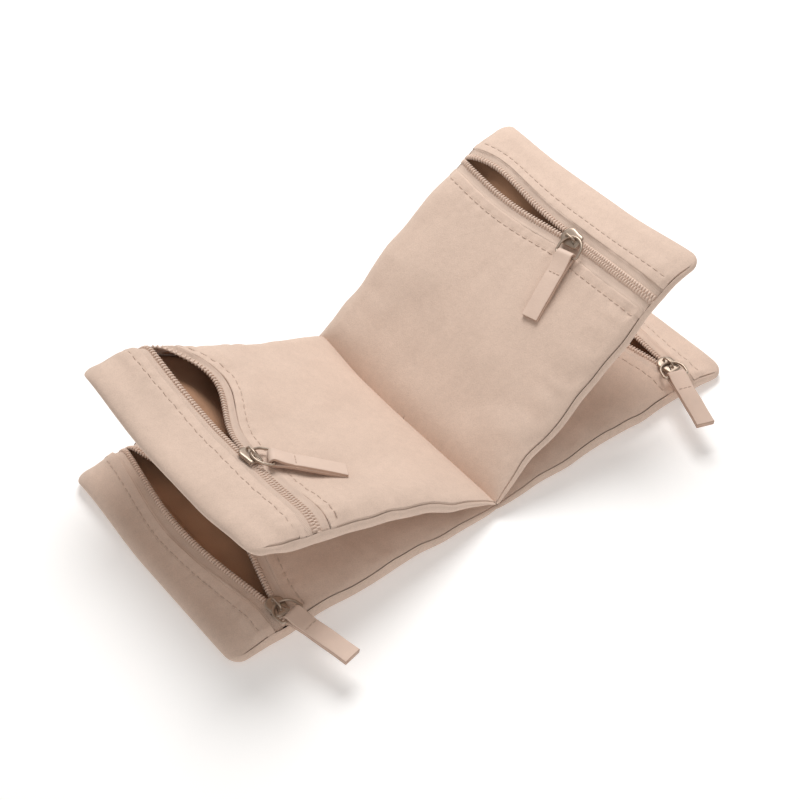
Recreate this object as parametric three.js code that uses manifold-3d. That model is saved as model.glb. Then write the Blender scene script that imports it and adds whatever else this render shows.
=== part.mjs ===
// Folding jewelry roll: four flat zip pockets ("leaves") sewn to one centre seam.
// Two leaves lie flat, left and right of the seam; two more stand open above them.
// Millimetres. +Z is up, the seam runs along Y, the long axis is X.
// The origin is on the resting plane, under the middle of the centre seam.

import * as THREE from 'three';
import { mergeVertices } from 'three/addons/utils/BufferGeometryUtils.js';
import Module from 'manifold-3d';

const wasm = await Module();
wasm.setup();

// ---------------------------------------------------------------- driving sizes
const WIDTH = 104;            // leaf width, along the seam
const LENGTH = 110;           // seam to the folded free end of a leaf
const THICK = 9.7;            // leaf thickness away from the seam
const TAPER = 45;             // over this distance a leaf thins down to the seam
const WALL = 0.8;             // back panel, end fold and side walls
const FRONT_WALL = 0.9;       // front panel
const LINING = 0.4;           // lining cloth
const GAP = 0.25;             // space kept between sewn layers
const CORNER = 6;             // corner radius of the free end in plan

const TOP_HINGE_X = 1.5;      // the upper leaves turn this far out from the seam
const TOP_HINGE_Z = 5.5;      // and at this height
const SEAM_HALF = 0.5;        // half thickness of the centre seam welt
const SEAM_TOP = 5.0;

const LIP = 5.0;              // zip line to the folded edge of the cloth beside it
const TAPE_FROM = 0.6;        // zip line to the edge of each tape
const TAPE_TO = 11.5;         // zip line to the sewn edge of each tape
const TAPE_Z = [8.1, 8.55];
const COIL_FROM = 0.45;
const COIL_TO = 2.4;
const COIL_Z = [8.8, 9.8];
const ZIP_HALF = 50.6;        // half length of tapes and coils

const SLIDER_TOP = [10.1, 10.9];
const SLIDER_BASE = [7.2, 7.85];
const BRIDGE_WIDTH = 0.7;
const BRIDGE_HALF = 2.6;
const BRIDGE_EYE = [2.0, 1.4];  // half length and height of the eye
const BRIDGE_ROOF = 0.6;

const WIRE = 1.0;             // pull ring wire
const RING_R = 4.6;           // pull ring, round end, to the wire's centre
const RING_BAR = 7.4;         // bridge to the straight bar that the tab hangs on
const TAB_WIDTH = 6.6;
const TAB_THICK = 1.8;
const TAB_END = 32.8;           // bridge to the tip of the tab

// One entry for each leaf. side: -1 left, +1 right. tilt: degrees above flat.
// zip: seam to zip line. slider: slider place along the zip, from the middle.
// inner, outer: how far each lip of the open mouth bows away from the zip line.
// peak: where along the mouth it is widest. ring: direction from the bridge to the
// ring's centre (degrees from the line to the seam, towards the near end). tab: the tab's direction.
const LEAVES = [
  { id: 'tl', side: -1, tilt: 24.2, top: true, zip: 80.5, slider: -12, inner: 13, outer: 0.6, peak: 0.66, ring: 41, tab: 30, tabTilt: -2 },
  { id: 'tr', side: 1, tilt: 35.1, top: true, zip: 86, slider: -8.4, inner: 3.6, outer: 3.4, peak: 0.6, ring: 41, tab: 11, tabTilt: -2 },
  { id: 'bl', side: -1, tilt: 0, top: false, zip: 88, slider: -45.5, inner: 9, outer: 5, peak: 0.5, ring: 78, tab: 78, tabTilt: -2 },
  { id: 'br', side: 1, tilt: 0, top: false, zip: 89.5, slider: -42, inner: 5.5, outer: 3, peak: 0.5, ring: 70, tab: 70, tabTilt: -2 },
];

// ---------------------------------------------------------------- finishes
const CLOTH = { color: 0xcfb3a0, roughness: 0.95, metalness: 0 };
const INSIDE = { color: 0xa67c5f, roughness: 0.9, metalness: 0 };
const TAPE = { color: 0xc9aa95, roughness: 0.85, metalness: 0 };
const COIL = { color: 0xc2a18a, roughness: 0.55, metalness: 0 };
const METAL = { color: 0xd8c6b6, roughness: 0.25, metalness: 1 };
const LEATHER = { color: 0xd2b5a2, roughness: 0.7, metalness: 0 };

// ---------------------------------------------------------------- helpers
function toSolid(geometry) {
  let g = geometry.clone();
  g.deleteAttribute('normal');
  g.deleteAttribute('uv');
  g = mergeVertices(g, 1e-4);
  return new wasm.Manifold(new wasm.Mesh({
    numProp: 3,
    vertProperties: new Float32Array(g.attributes.position.array),
    triVerts: new Uint32Array(g.index.array),
  }));
}

function toGeometry(solid, map = null, flip = false) {
  const m = solid.getMesh();
  const pos = new Float32Array(m.vertProperties.length);
  for (let i = 0; i < pos.length; i += 3) {
    const p = [m.vertProperties[i], m.vertProperties[i + 1], m.vertProperties[i + 2]];
    const q = map ? map(p) : p;
    pos[i] = q[0]; pos[i + 1] = q[1]; pos[i + 2] = q[2];
  }
  const idx = Array.from(m.triVerts);
  if (flip) for (let i = 0; i < idx.length; i += 3) [idx[i + 1], idx[i + 2]] = [idx[i + 2], idx[i + 1]];
  const g = new THREE.BufferGeometry();
  g.setAttribute('position', new THREE.BufferAttribute(pos, 3));
  g.setIndex(idx);
  g.computeVertexNormals();
  return g;
}

function shapeOf(points, hole = null) {
  const s = new THREE.Shape(points.map(([a, b]) => new THREE.Vector2(a, b)));
  if (hole) s.holes.push(new THREE.Path(hole.map(([a, b]) => new THREE.Vector2(a, b))));
  return s;
}

// outline in (u, v), thickness along w
function slab(points, w0, w1) {
  const g = new THREE.ExtrudeGeometry(shapeOf(points), { depth: w1 - w0, bevelEnabled: false, steps: 1 });
  g.translate(0, 0, w0);
  return toSolid(g);
}

// profile in (u, w), length along v from -half to +half
function prism(points, half) {
  const g = new THREE.ExtrudeGeometry(shapeOf(points), { depth: 2 * half, bevelEnabled: false, steps: 1 });
  g.rotateX(Math.PI / 2);
  g.translate(0, half, 0);
  return toSolid(g);
}

function mesh(name, geometry, finish) {
  const m = new THREE.Mesh(geometry, new THREE.MeshStandardMaterial({ ...finish }));
  m.name = name;
  return m;
}

const rad = (d) => d * Math.PI / 180;

// ---------------------------------------------------------------- leaf section
// Front and back faces of a leaf against the distance u from the seam.
// Lower leaves are flat underneath; upper leaves thin down to the middle.
function faces(leaf) {
  const near = leaf.top ? 1.8 : 1.0;
  const mid = THICK / 2;
  return leaf.top
    ? { near, front: [mid + 0.9, THICK], back: [mid - 0.9, 0] }
    : { near, front: [4.2, THICK], back: [0, 0] };
}

// closed section, drawn in by d from the outer faces
function section(leaf, d, nearAt = null) {
  const f = faces(leaf);
  const at = (pair, u) => pair[0] + (pair[1] - pair[0]) * Math.min(1, Math.max(0, (u - f.near) / (TAPER - f.near)));
  const n = nearAt === null ? f.near + d : nearAt;
  const r = THICK / 2 - d;
  const cu = LENGTH - THICK / 2;
  const cw = THICK / 2;
  const pts = [[n, at(f.back, n) + d], [TAPER, d]];
  for (let i = 0; i <= 6; i++) {
    const a = -Math.PI / 2 + Math.PI * i / 6;
    pts.push([cu + r * Math.cos(a), cw + r * Math.sin(a)]);
  }
  pts.push([TAPER, THICK - d], [n, at(f.front, n) - d]);
  return pts;
}

// plan outline of a leaf, drawn in by d
function plan(d, near) {
  const h = WIDTH / 2 - d;
  const e = LENGTH - d;
  const r = CORNER - d;
  const pts = [[near, -h]];
  for (const [cy, a0] of [[-h + r, -Math.PI / 2], [h - r, 0]]) {
    for (let i = 0; i <= 4; i++) {
      const a = a0 + (Math.PI / 2) * i / 4;
      pts.push([e - r + r * Math.cos(a), cy + r * Math.sin(a)]);
    }
  }
  pts.push([near, h]);
  return pts;
}

// how far a lip bows out at v: nothing from the near end to the slider, a smooth bow beyond it
function bow(leaf, amount, v) {
  const v0 = leaf.slider + 3;
  const v1 = ZIP_HALF - 1.5;
  if (v <= v0 || v >= v1) return 0;
  const t = (v - v0) / (v1 - v0);
  const p = Math.log(0.5) / Math.log(leaf.peak);
  return amount * Math.pow(Math.sin(Math.PI * Math.pow(t, p)), 1.25);
}

const STEPS = 18;
function lipLine(leaf, sign, offset, half) {
  const amount = sign < 0 ? leaf.inner : leaf.outer;
  const vs = [-half, leaf.slider + 3];
  for (let i = 1; i < STEPS; i++) vs.push(leaf.slider + 3 + (ZIP_HALF - 1.5 - leaf.slider - 3) * i / STEPS);
  vs.push(ZIP_HALF - 1.5, half);
  return vs.map((v) => [leaf.zip + sign * (offset + bow(leaf, amount, v)), v]);
}

function ribbon(leaf, sign, from, to, half, zz) {
  const a = lipLine(leaf, sign, from, half);
  const b = lipLine(leaf, sign, to, half);
  const loop = sign > 0 ? [...a.slice().reverse(), ...b] : [...b.slice().reverse(), ...a];
  return slab(loop, zz[0], zz[1]);
}

// ---------------------------------------------------------------- leaf cloth
function leafSolids(leaf) {
  const f = faces(leaf);
  const outer = prism(section(leaf, 0), WIDTH / 2).intersect(slab(plan(0, 0), -1, THICK + 1));
  const hollow = prism(section(leaf, WALL), WIDTH / 2 - WALL).intersect(slab(plan(WALL, 0), -1, THICK + 1));

  // back panel, side walls, end fold and end band in one piece, open on top up to the outer lip
  const under = FRONT_WALL + GAP;
  const topCut = prism([
    [-1, f.front[0] - under], [f.near, f.front[0] - under], [TAPER, THICK - under],
    [LENGTH + 5, THICK - under], [LENGTH + 5, THICK + 3], [-1, THICK + 3],
  ], WIDTH);
  const outLip = lipLine(leaf, 1, LIP, WIDTH / 2 + 2);
  const openPlan = slab([[-2, -WIDTH / 2 - 2], ...outLip, [-2, WIDTH / 2 + 2]], -2, THICK + 4);
  const shell = outer.subtract(hollow).subtract(topCut.intersect(openPlan));

  // front panel: a sheet over the opening, from the seam to the inner lip
  const skin = prism([
    [f.near + 0.1, f.front[0] - FRONT_WALL], [TAPER, THICK - FRONT_WALL], [LENGTH, THICK - FRONT_WALL],
    [LENGTH, THICK], [TAPER, THICK], [f.near + 0.1, f.front[0]],
  ], WIDTH / 2);
  const inLip = lipLine(leaf, -1, LIP, WIDTH / 2 + 2);
  const front = skin.intersect(slab([[-2, -WIDTH / 2 - 2], ...inLip, [-2, WIDTH / 2 + 2]], -2, THICK + 4));

  // lining bag, open along the mouth
  const d0 = WALL + GAP;
  const d1 = d0 + LINING;
  const roof = TAPE_Z[0] - GAP;
  const near0 = 14;
  const lidCut = slab([[0, -WIDTH], [LENGTH + 5, -WIDTH], [LENGTH + 5, WIDTH], [0, WIDTH]], roof, THICK + 5);
  const lidIn = slab([[0, -WIDTH], [LENGTH + 5, -WIDTH], [LENGTH + 5, WIDTH], [0, WIDTH]], roof - LINING, THICK + 5);
  const taperCut = prism([
    [-1, f.front[0] - under - GAP - 0.6], [f.near, f.front[0] - under - GAP - 0.6], [TAPER, roof],
    [TAPER, THICK + 3], [-1, THICK + 3],
  ], WIDTH);
  const taperIn = prism([
    [-1, f.front[0] - under - GAP - 0.6 - LINING], [f.near, f.front[0] - under - GAP - 0.6 - LINING], [TAPER, roof - LINING],
    [TAPER, THICK + 3], [-1, THICK + 3],
  ], WIDTH);
  const bagOut = prism(section(leaf, d0, near0), WIDTH / 2 - d0).intersect(slab(plan(d0, 0), -1, THICK + 1)).subtract(lidCut).subtract(taperCut);
  const bagIn = prism(section(leaf, d1, near0 + LINING), WIDTH / 2 - d1).intersect(slab(plan(d1, 0), -1, THICK + 1)).subtract(lidIn).subtract(taperIn);
  const a = lipLine(leaf, -1, LIP + 0.6, WIDTH);
  const b = lipLine(leaf, 1, LIP + 0.6, WIDTH);
  const mouth = slab([...b, ...a.slice().reverse()], SLIDER_BASE[0] - 0.4, THICK + 5);
  const lining = bagOut.subtract(bagIn).subtract(mouth);

  return { shell, front, lining };
}

// ---------------------------------------------------------------- zip slider, ring and tab
function sliderSolid() {
  const outline = (k, s) => {
    const pts = [];
    for (let i = 0; i <= 8; i++) { // wide round nose, towards the open mouth
      const a = Math.PI * i / 8;
      pts.push([k * 3.4 * Math.cos(a), s * (1.2 + 3.1 * Math.sin(a))]);
    }
    pts.push([-k * 2.9, -s * 3.2], [-k * 2.3, -s * 4.3], [k * 2.3, -s * 4.3], [k * 2.9, -s * 3.2]);
    return pts;
  };
  const top = slab(outline(1, 1), SLIDER_TOP[0], SLIDER_TOP[1]);
  const base = slab(outline(0.94, 0.74), SLIDER_BASE[0], SLIDER_BASE[1]);
  const post = slab([[-0.22, 0.4], [0.22, 0.4], [0.22, 2.6], [-0.22, 2.6]], SLIDER_BASE[1] - 0.3, SLIDER_TOP[0] + 0.3);
  const z0 = SLIDER_TOP[1];
  const [eh, ez] = BRIDGE_EYE;
  const arch = new THREE.ExtrudeGeometry(shapeOf(
    [[-BRIDGE_HALF, z0 - 0.3], [-eh, z0 - 0.3], [-eh, z0 + ez * 0.75], [-eh * 0.7, z0 + ez], [eh * 0.7, z0 + ez], [eh, z0 + ez * 0.75], [eh, z0 - 0.3], [BRIDGE_HALF, z0 - 0.3],
      [BRIDGE_HALF, z0 + ez * 0.85], [eh * 0.8, z0 + ez + BRIDGE_ROOF], [-eh * 0.8, z0 + ez + BRIDGE_ROOF], [-BRIDGE_HALF, z0 + ez * 0.85]],
  ), { depth: BRIDGE_WIDTH, bevelEnabled: false, steps: 1 });
  // profile (v, w) and width along u
  arch.applyMatrix4(new THREE.Matrix4().makeBasis(new THREE.Vector3(0, 1, 0), new THREE.Vector3(0, 0, 1), new THREE.Vector3(1, 0, 0)));
  arch.translate(-BRIDGE_WIDTH / 2, 0, 0);
  return top.add(post).add(base).add(toSolid(arch));
}

// D-shaped wire ring in its own plane: centre of the round end at the origin, bar towards +Y
function ringGeometry() {
  const b = 0.28;
  const outlineD = (grow, corner) => {
    const r = RING_R + grow;
    const y1 = RING_BAR - RING_R + grow;
    const pts = [];
    for (let i = 0; i <= 12; i++) {
      const a = Math.PI + Math.PI * i / 12;
      pts.push([r * Math.cos(a), r * Math.sin(a)]);
    }
    for (let i = 0; i <= 3; i++) {
      const a = (Math.PI / 2) * i / 3;
      pts.push([r - corner + corner * Math.cos(a), y1 - corner + corner * Math.sin(a)]);
    }
    for (let i = 0; i <= 3; i++) {
      const a = Math.PI / 2 + (Math.PI / 2) * i / 3;
      pts.push([-r + corner + corner * Math.cos(a), y1 - corner + corner * Math.sin(a)]);
    }
    return pts;
  };
  const g = new THREE.ExtrudeGeometry(
    shapeOf(outlineD(WIRE / 2, 1.5), outlineD(-WIRE / 2, 0.6)),
    { depth: WIRE - 2 * b, bevelEnabled: true, bevelThickness: b, bevelSize: b, bevelOffset: -b, bevelSegments: 1, steps: 1 },
  );
  g.translate(0, 0, -(WIRE - 2 * b) / 2);
  return toGeometry(toSolid(g));
}

// folded leather tab: a loop round the ring's bar and a flat double strip; bar at the origin, tip towards +Y
function tabGeometry() {
  const ro = 1.6;
  const ri = 0.8;
  const h = TAB_THICK / 2;
  const a0 = Math.asin(h / ro);
  const pts = [];
  for (let i = 0; i <= 12; i++) {
    const a = a0 + (2 * Math.PI - 2 * a0) * i / 12;
    pts.push([ro * Math.cos(a), ro * Math.sin(a)]);
  }
  const end = TAB_END - RING_BAR;
  pts.push([end, -h], [end, h]);
  const hole = [];
  for (let i = 0; i < 12; i++) {
    const a = 2 * Math.PI * i / 12;
    hole.push([ri * Math.cos(a), ri * Math.sin(a)]);
  }
  const g = new THREE.ExtrudeGeometry(shapeOf(pts, hole), { depth: TAB_WIDTH, bevelEnabled: false, steps: 1 });
  g.applyMatrix4(new THREE.Matrix4().makeBasis(new THREE.Vector3(0, 1, 0), new THREE.Vector3(0, 0, 1), new THREE.Vector3(1, 0, 0)));
  g.translate(-TAB_WIDTH / 2, 0, 0);
  return toGeometry(toSolid(g));
}

// ---------------------------------------------------------------- assembly
const roll = new THREE.Group();
roll.name = 'jewelry_roll';

const seam = prism([[-SEAM_HALF, 0], [SEAM_HALF, 0], [SEAM_HALF, SEAM_TOP - 0.4], [SEAM_HALF - 0.3, SEAM_TOP], [-SEAM_HALF + 0.3, SEAM_TOP], [-SEAM_HALF, SEAM_TOP - 0.4]], WIDTH / 2 - 1);
roll.add(mesh('centre_seam', toGeometry(seam), CLOTH));

for (const leaf of LEAVES) {
  const group = new THREE.Group();
  const z0 = leaf.top ? -THICK / 2 : 0;     // upper leaves turn about their middle plane
  if (leaf.top) {
    group.position.set(leaf.side * TOP_HINGE_X, 0, TOP_HINGE_Z);
    group.rotation.y = -leaf.side * rad(leaf.tilt);
  }
  const place = ([u, v, w]) => [leaf.side * u, v, w + z0];
  const put = (name, solid, finish) => group.add(mesh(`${leaf.id}_${name}`, toGeometry(solid, place, leaf.side < 0), finish));

  const { shell, front, lining } = leafSolids(leaf);
  put('shell', shell, CLOTH);
  put('front_panel', front, CLOTH);
  put('lining', lining, INSIDE);
  put('tape_inner', ribbon(leaf, -1, TAPE_FROM, TAPE_TO, ZIP_HALF, TAPE_Z), TAPE);
  put('tape_outer', ribbon(leaf, 1, TAPE_FROM, TAPE_TO, ZIP_HALF, TAPE_Z), TAPE);
  put('coil_inner', ribbon(leaf, -1, COIL_FROM, COIL_TO, ZIP_HALF - 0.4, COIL_Z), COIL);
  put('coil_outer', ribbon(leaf, 1, COIL_FROM, COIL_TO, ZIP_HALF - 0.4, COIL_Z), COIL);

  const zip = new THREE.Group();
  zip.position.set(leaf.side * leaf.zip, leaf.slider, z0);
  zip.add(mesh(`${leaf.id}_slider`, toGeometry(sliderSolid()), METAL));

  const pull = new THREE.Group();
  pull.position.set(0, 0, SLIDER_TOP[1] + BRIDGE_EYE[1] / 2);
  const heading = (deg) => [-leaf.side * Math.cos(rad(deg)), -Math.sin(rad(deg))];
  const toRing = heading(leaf.ring);
  const toTab = heading(leaf.tab);
  const hoop = new THREE.Group();
  hoop.position.set(RING_R * toRing[0], RING_R * toRing[1], 0);
  hoop.rotation.z = Math.atan2(toTab[1], toTab[0]) - Math.PI / 2;
  hoop.add(mesh(`${leaf.id}_pull_ring`, ringGeometry(), METAL));
  const tab = mesh(`${leaf.id}_pull_tab`, tabGeometry(), LEATHER);
  tab.position.set(0, RING_BAR - RING_R, 0);
  tab.rotation.x = rad(leaf.tabTilt);
  hoop.add(tab);
  pull.add(hoop);
  zip.add(pull);
  group.add(zip);
  roll.add(group);
}

export default roll;
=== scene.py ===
import math

import bpy
import numpy as np
from mathutils import Matrix, Vector


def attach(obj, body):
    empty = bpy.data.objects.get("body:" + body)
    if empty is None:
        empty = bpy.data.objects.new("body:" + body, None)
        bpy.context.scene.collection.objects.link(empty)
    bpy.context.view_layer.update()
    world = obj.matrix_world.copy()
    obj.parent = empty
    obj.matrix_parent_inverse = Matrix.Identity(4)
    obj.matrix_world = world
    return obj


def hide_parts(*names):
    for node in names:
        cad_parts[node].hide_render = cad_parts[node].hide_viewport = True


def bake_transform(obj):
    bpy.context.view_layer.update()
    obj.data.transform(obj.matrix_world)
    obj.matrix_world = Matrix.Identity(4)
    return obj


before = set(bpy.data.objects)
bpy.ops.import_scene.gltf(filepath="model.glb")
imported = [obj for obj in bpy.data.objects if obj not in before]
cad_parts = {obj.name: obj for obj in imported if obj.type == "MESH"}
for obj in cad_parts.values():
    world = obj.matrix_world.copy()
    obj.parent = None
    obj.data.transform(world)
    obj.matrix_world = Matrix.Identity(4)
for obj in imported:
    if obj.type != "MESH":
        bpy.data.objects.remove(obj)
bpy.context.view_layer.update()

# The object is drawn in millimetres and stored in metres.
# Leaf coordinates: u from the centre seam to the free end, v along the seam,
# w from the back of the leaf to its front.
MM = 0.001
LENGTH, HALF, THICK = 110.0, 52.0, 9.7
MID = THICK / 2
LIP = 5.0            # zip line to the folded cloth edge
PITCH = 1.15         # zip teeth
STITCH = 3.0         # topstitch pitch
STITCH_IN, STITCH_OUT = 3.7, 4.4   # cloth edge to the topstitch
NOSE = 5.5           # length of the rounded end fold
SEAM = 0.70          # height of the side seam, as a share of the thickness
SEAM_IN = 1.4        # side seam to the outermost point of the leaf
FAR_SEAM, FAR_IN = 0.34, 0.5       # the same on the far side, where the front rolls over the edge
CORNER = 5.5         # corner radius of the free end in plan
SPLIT = 6.0          # the root strip of an upper leaf ends here

LEAF = {
    "tl": dict(side=-1, tilt=24.2, top=True, zip=80.5, slider=-12.0, inner=13.0, outer=0.6, peak=0.66,
               ring=41, tab=30, body="tl_leaf", droop=3.0, step=0.55, seed=11),
    "tr": dict(side=1, tilt=35.1, top=True, zip=86.0, slider=-8.4, inner=2.1, outer=3.4, peak=0.5, peak_out=0.70, reach=2.1 / 3.6,
               ring=41, tab=11, body="tr_leaf", droop=4.0, step=0.25, seed=23),
    "bl": dict(side=-1, tilt=0.0, top=False, zip=88.0, slider=-45.5, inner=9.0, outer=5.0, peak=0.5,
               ring=78, tab=78, body="base", droop=0.0, step=0.1, seed=37),
    "br": dict(side=1, tilt=0.0, top=False, zip=89.5, slider=-42.0, inner=5.5, outer=3.0, peak=0.5,
               ring=70, tab=70, body="br_leaf", droop=0.0, step=0.1, seed=53),
}
for _k, _l in LEAF.items():
    _l["u0"] = -1.5 / math.cos(math.radians(_l["tilt"])) if _l["top"] else 0.0
    _l["split"] = SPLIT if _l["top"] else (12.0 if _k == "br" else 0.0)


# ------------------------------------------------------------------ small maths
def smooth(t):
    t = np.clip(t, 0.0, 1.0)
    return t * t * (3 - 2 * t)


def waves(seed, n, low, high):
    r = np.random.default_rng(seed)
    out = []
    for _ in range(n):
        length, angle, phase = r.uniform(low, high), r.uniform(0, math.pi), r.uniform(0, 2 * math.pi)
        out.append((2 * math.pi / length * math.cos(angle), 2 * math.pi / length * math.sin(angle), phase))
    return out


def ripple(ws, u, v):
    return sum(np.sin(a * u + b * v + p) for a, b, p in ws) / math.sqrt(len(ws))


def wobble(seed, t, low, high, n=6):
    r = np.random.default_rng(seed)
    return sum(np.sin(2 * math.pi * t / r.uniform(low, high) + r.uniform(0, 2 * math.pi)) for _ in range(n)) / math.sqrt(n)


def curve(x, *knots):
    """Soft line through the given points."""
    y = float(knots[0][1])
    for (x0, y0), (x1, y1) in zip(knots, knots[1:]):
        y = y + (y1 - y0) * smooth((x - x0) / (x1 - x0))
    return y


def slack(k, u, v, w):
    """Where the cloth of a leaf lies once its slack is taken up; nothing moves at the slider."""
    leaf = LEAF[k]
    past = np.clip((u - leaf["zip"] - 6) / (LENGTH - leaf["zip"] - 6), 0, 1)
    d = -leaf["droop"] * past ** 1.5
    thick = np.clip(w / THICK, 0, 1.1)
    if leaf["top"]:
        d = d + 2.4 * smooth((v - 26) / 26) * np.exp(-(np.maximum(u, 0) / 16.0) ** 2)
    if k == "tl":
        near = smooth((-v - 21) / 31)
        d = d + near * curve(u, (0, 0.0), (19, 1.4), (34, 4.0), (47, 4.6), (66, 3.2), (80, 2.0), (90, 1.5), (106, 2.6))
        d = d + smooth((-v - 36) / 12) * (1 - np.minimum(thick, 1)) * curve(u, (58, 0.0), (80, -1.6), (90, -2.6), (106, -0.5))
        far = smooth((v - 2) / 50)
        d = d + 4.0 * np.exp(-((u - 86) / 20.0) ** 2) * far ** 1.3
        d = d + 3.4 * far * (0.8 + 0.2 * smooth(u / 15)) * (1 - smooth((u - 78) / 24)) * thick
        d = d + far * curve(u, (20, 0.0), (50, 1.3), (84, 1.0), (106, 3.0))
        end = smooth((u - 84) / 24)
        u = u + 3.6 * smooth((v - 8) / 44) * smooth((u - 30) / 45) * (1 - smooth((u - 86) / 22))
        u = u - curve(v, (-52, 4.2), (-20, 3.7), (52, 3.5)) * end
    elif k == "tr":
        far = smooth((v - 8) / 42)
        d = d + 3.0 * far * (0.8 + 0.2 * smooth(u / 15)) * (1 - smooth((u - 25) / 40)) * thick
        d = d + far * curve(u, (0, 0.0), (25, 0.8), (45, 2.8), (65, 3.0), (84, 2.0), (106, 1.6))
        d = d - 0.8 * np.exp(-((u - 45) / 20.0) ** 2) * smooth((-v - 20) / 30)
        d = d + 1.2 * np.exp(-((u - 18) / 8.0) ** 2) * np.exp(-((v + 38) / 10.0) ** 2) * thick
        end = smooth((u - 88) / 20)
        held = 1 - np.exp(-((u - leaf["zip"]) / 12.0) ** 2) * np.exp(-((v - leaf["slider"]) / 16.0) ** 2)
        aside = curve(u, (0, 0.0), (20, 0.8), (45, 1.7), (75, 2.2), (104, 2.4)) * held
        aside = aside + smooth((v - 5) / 42) * curve(u, (0, 0.0), (20, 0.8), (45, 2.2), (65, 2.2), (84, 0.8), (104, -0.4))
        u, v = u - curve(v, (-52, 2.0), (-15, 4.0), (20, 4.2), (52, 3.0)) * end, v + aside
    elif k == "bl":
        far = smooth((v - 2) / 42)
        d = d + 1.2 * far * smooth((u - 78) / 26)
        u = u - 1.8 * far * smooth((u - 84) / 24)
    return u, v, w + d


def place(k, u, v, w, soft=True):
    leaf = LEAF[k]
    u, v, w = np.broadcast_arrays(np.asarray(u, float), np.asarray(v, float), np.asarray(w, float))
    if soft:
        u, v, w = slack(k, u, v, w)
    s = leaf["side"]
    if leaf["top"]:
        a = math.radians(leaf["tilt"])
        d = w - MID
        return np.stack([s * (1.5 + u * math.cos(a) - d * math.sin(a)), v, 5.5 + u * math.sin(a) + d * math.cos(a)], -1)
    return np.stack([s * u, v, w], -1)


def bow_shape(k, v, sign=-1):
    """0 to 1: how far along its travel a lip of the open mouth stands at v; -1 the inner lip, 1 the outer."""
    leaf = LEAF[k]
    v0, v1 = leaf["slider"] + 3.0, 49.1
    t = np.clip((np.asarray(v, float) - v0) / (v1 - v0), 0, 1)
    p = math.log(0.5) / math.log(leaf["peak"] if sign < 0 else leaf.get("peak_out", leaf["peak"]))
    return np.sin(math.pi * t ** p).clip(0, 1) ** 1.25


def reach(k, sign):
    """Share of the lip's own travel that the drawn lip needs to close."""
    return LEAF[k].get("reach", 1.0) if sign < 0 else 1.0


# ------------------------------------------------------------------ leaf form
def faces_of(k, u):
    """Top and bottom of the leaf at distance u from the seam, before the sides roll in."""
    leaf = LEAF[k]
    u = np.asarray(u, float)
    e = np.sqrt(np.clip(1 - np.clip((u - (LENGTH - NOSE)) / NOSE, 0, 1) ** 2, 0, 1))
    thin = smooth((u - leaf["zip"] - LIP) / (106.0 - leaf["zip"] - LIP))
    if leaf["top"]:
        s = np.clip((u - leaf["u0"]) / (32 - leaf["u0"]), 0, 1)
        swell = (1 - (1 - s) ** 2) ** 0.62 if leaf["side"] < 0 else 1 - np.exp(-(np.clip(u - leaf["u0"], 0, None) / 6.2) ** 1.25)
        front = 0.25 + 4.5 * swell - 1.7 * thin
        s = np.clip((u - leaf["u0"]) / (40 - leaf["u0"]), 0, 1)
        back = 0.25 + 4.6 * s ** 0.85 - 1.5 * smooth((u - 55) / 48.0)
        pinch = 0.5 * (1 - smooth((u - leaf["u0"]) / 6.0)) * (1 if leaf["side"] < 0 else -0.4)
        return MID + front * e - pinch, MID - back * e - pinch
    s = np.clip(u / 44.0, 0, 1)
    top = 4.3 + 5.3 * s ** 0.85 - 3.4 * thin
    bot = 1.5 * np.clip(1 - u / 8.0, 0, 1) ** 2
    mid = 0.5 * (top + bot)
    return mid + (top - mid) * e, mid - (mid - bot) * e


FRONT_EDGE = HALF - SEAM_IN


def front_edge(v):
    return HALF - np.where(np.asarray(v) > 0, FAR_IN, SEAM_IN)


def seam_share(v):
    return np.where(np.asarray(v) > 0, FAR_SEAM, SEAM)


END = 0.87 * math.pi      # the back cloth is rolled round the side as far as this


def side_rise(k, x, sc):
    """The back of a leaf curves up to its sides."""
    amount = np.where(np.asarray(x) > 0, 1.5, 0.3 if k == "tl" else 1.2) if LEAF[k]["top"] else 0.3
    return amount * sc * smooth((np.abs(x) - 28) / 22)


def crown(x):
    """Front face across the leaf: flat in the middle, 1, falling to the side seams, 0."""
    far = np.asarray(x) > 0
    run = np.where(far, 9.0, 12.0)
    t = np.clip((np.abs(x) - (front_edge(x) - run)) / run, 0, 1)
    return 1 - t ** np.where(far, 2.6, 3.0)


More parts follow.
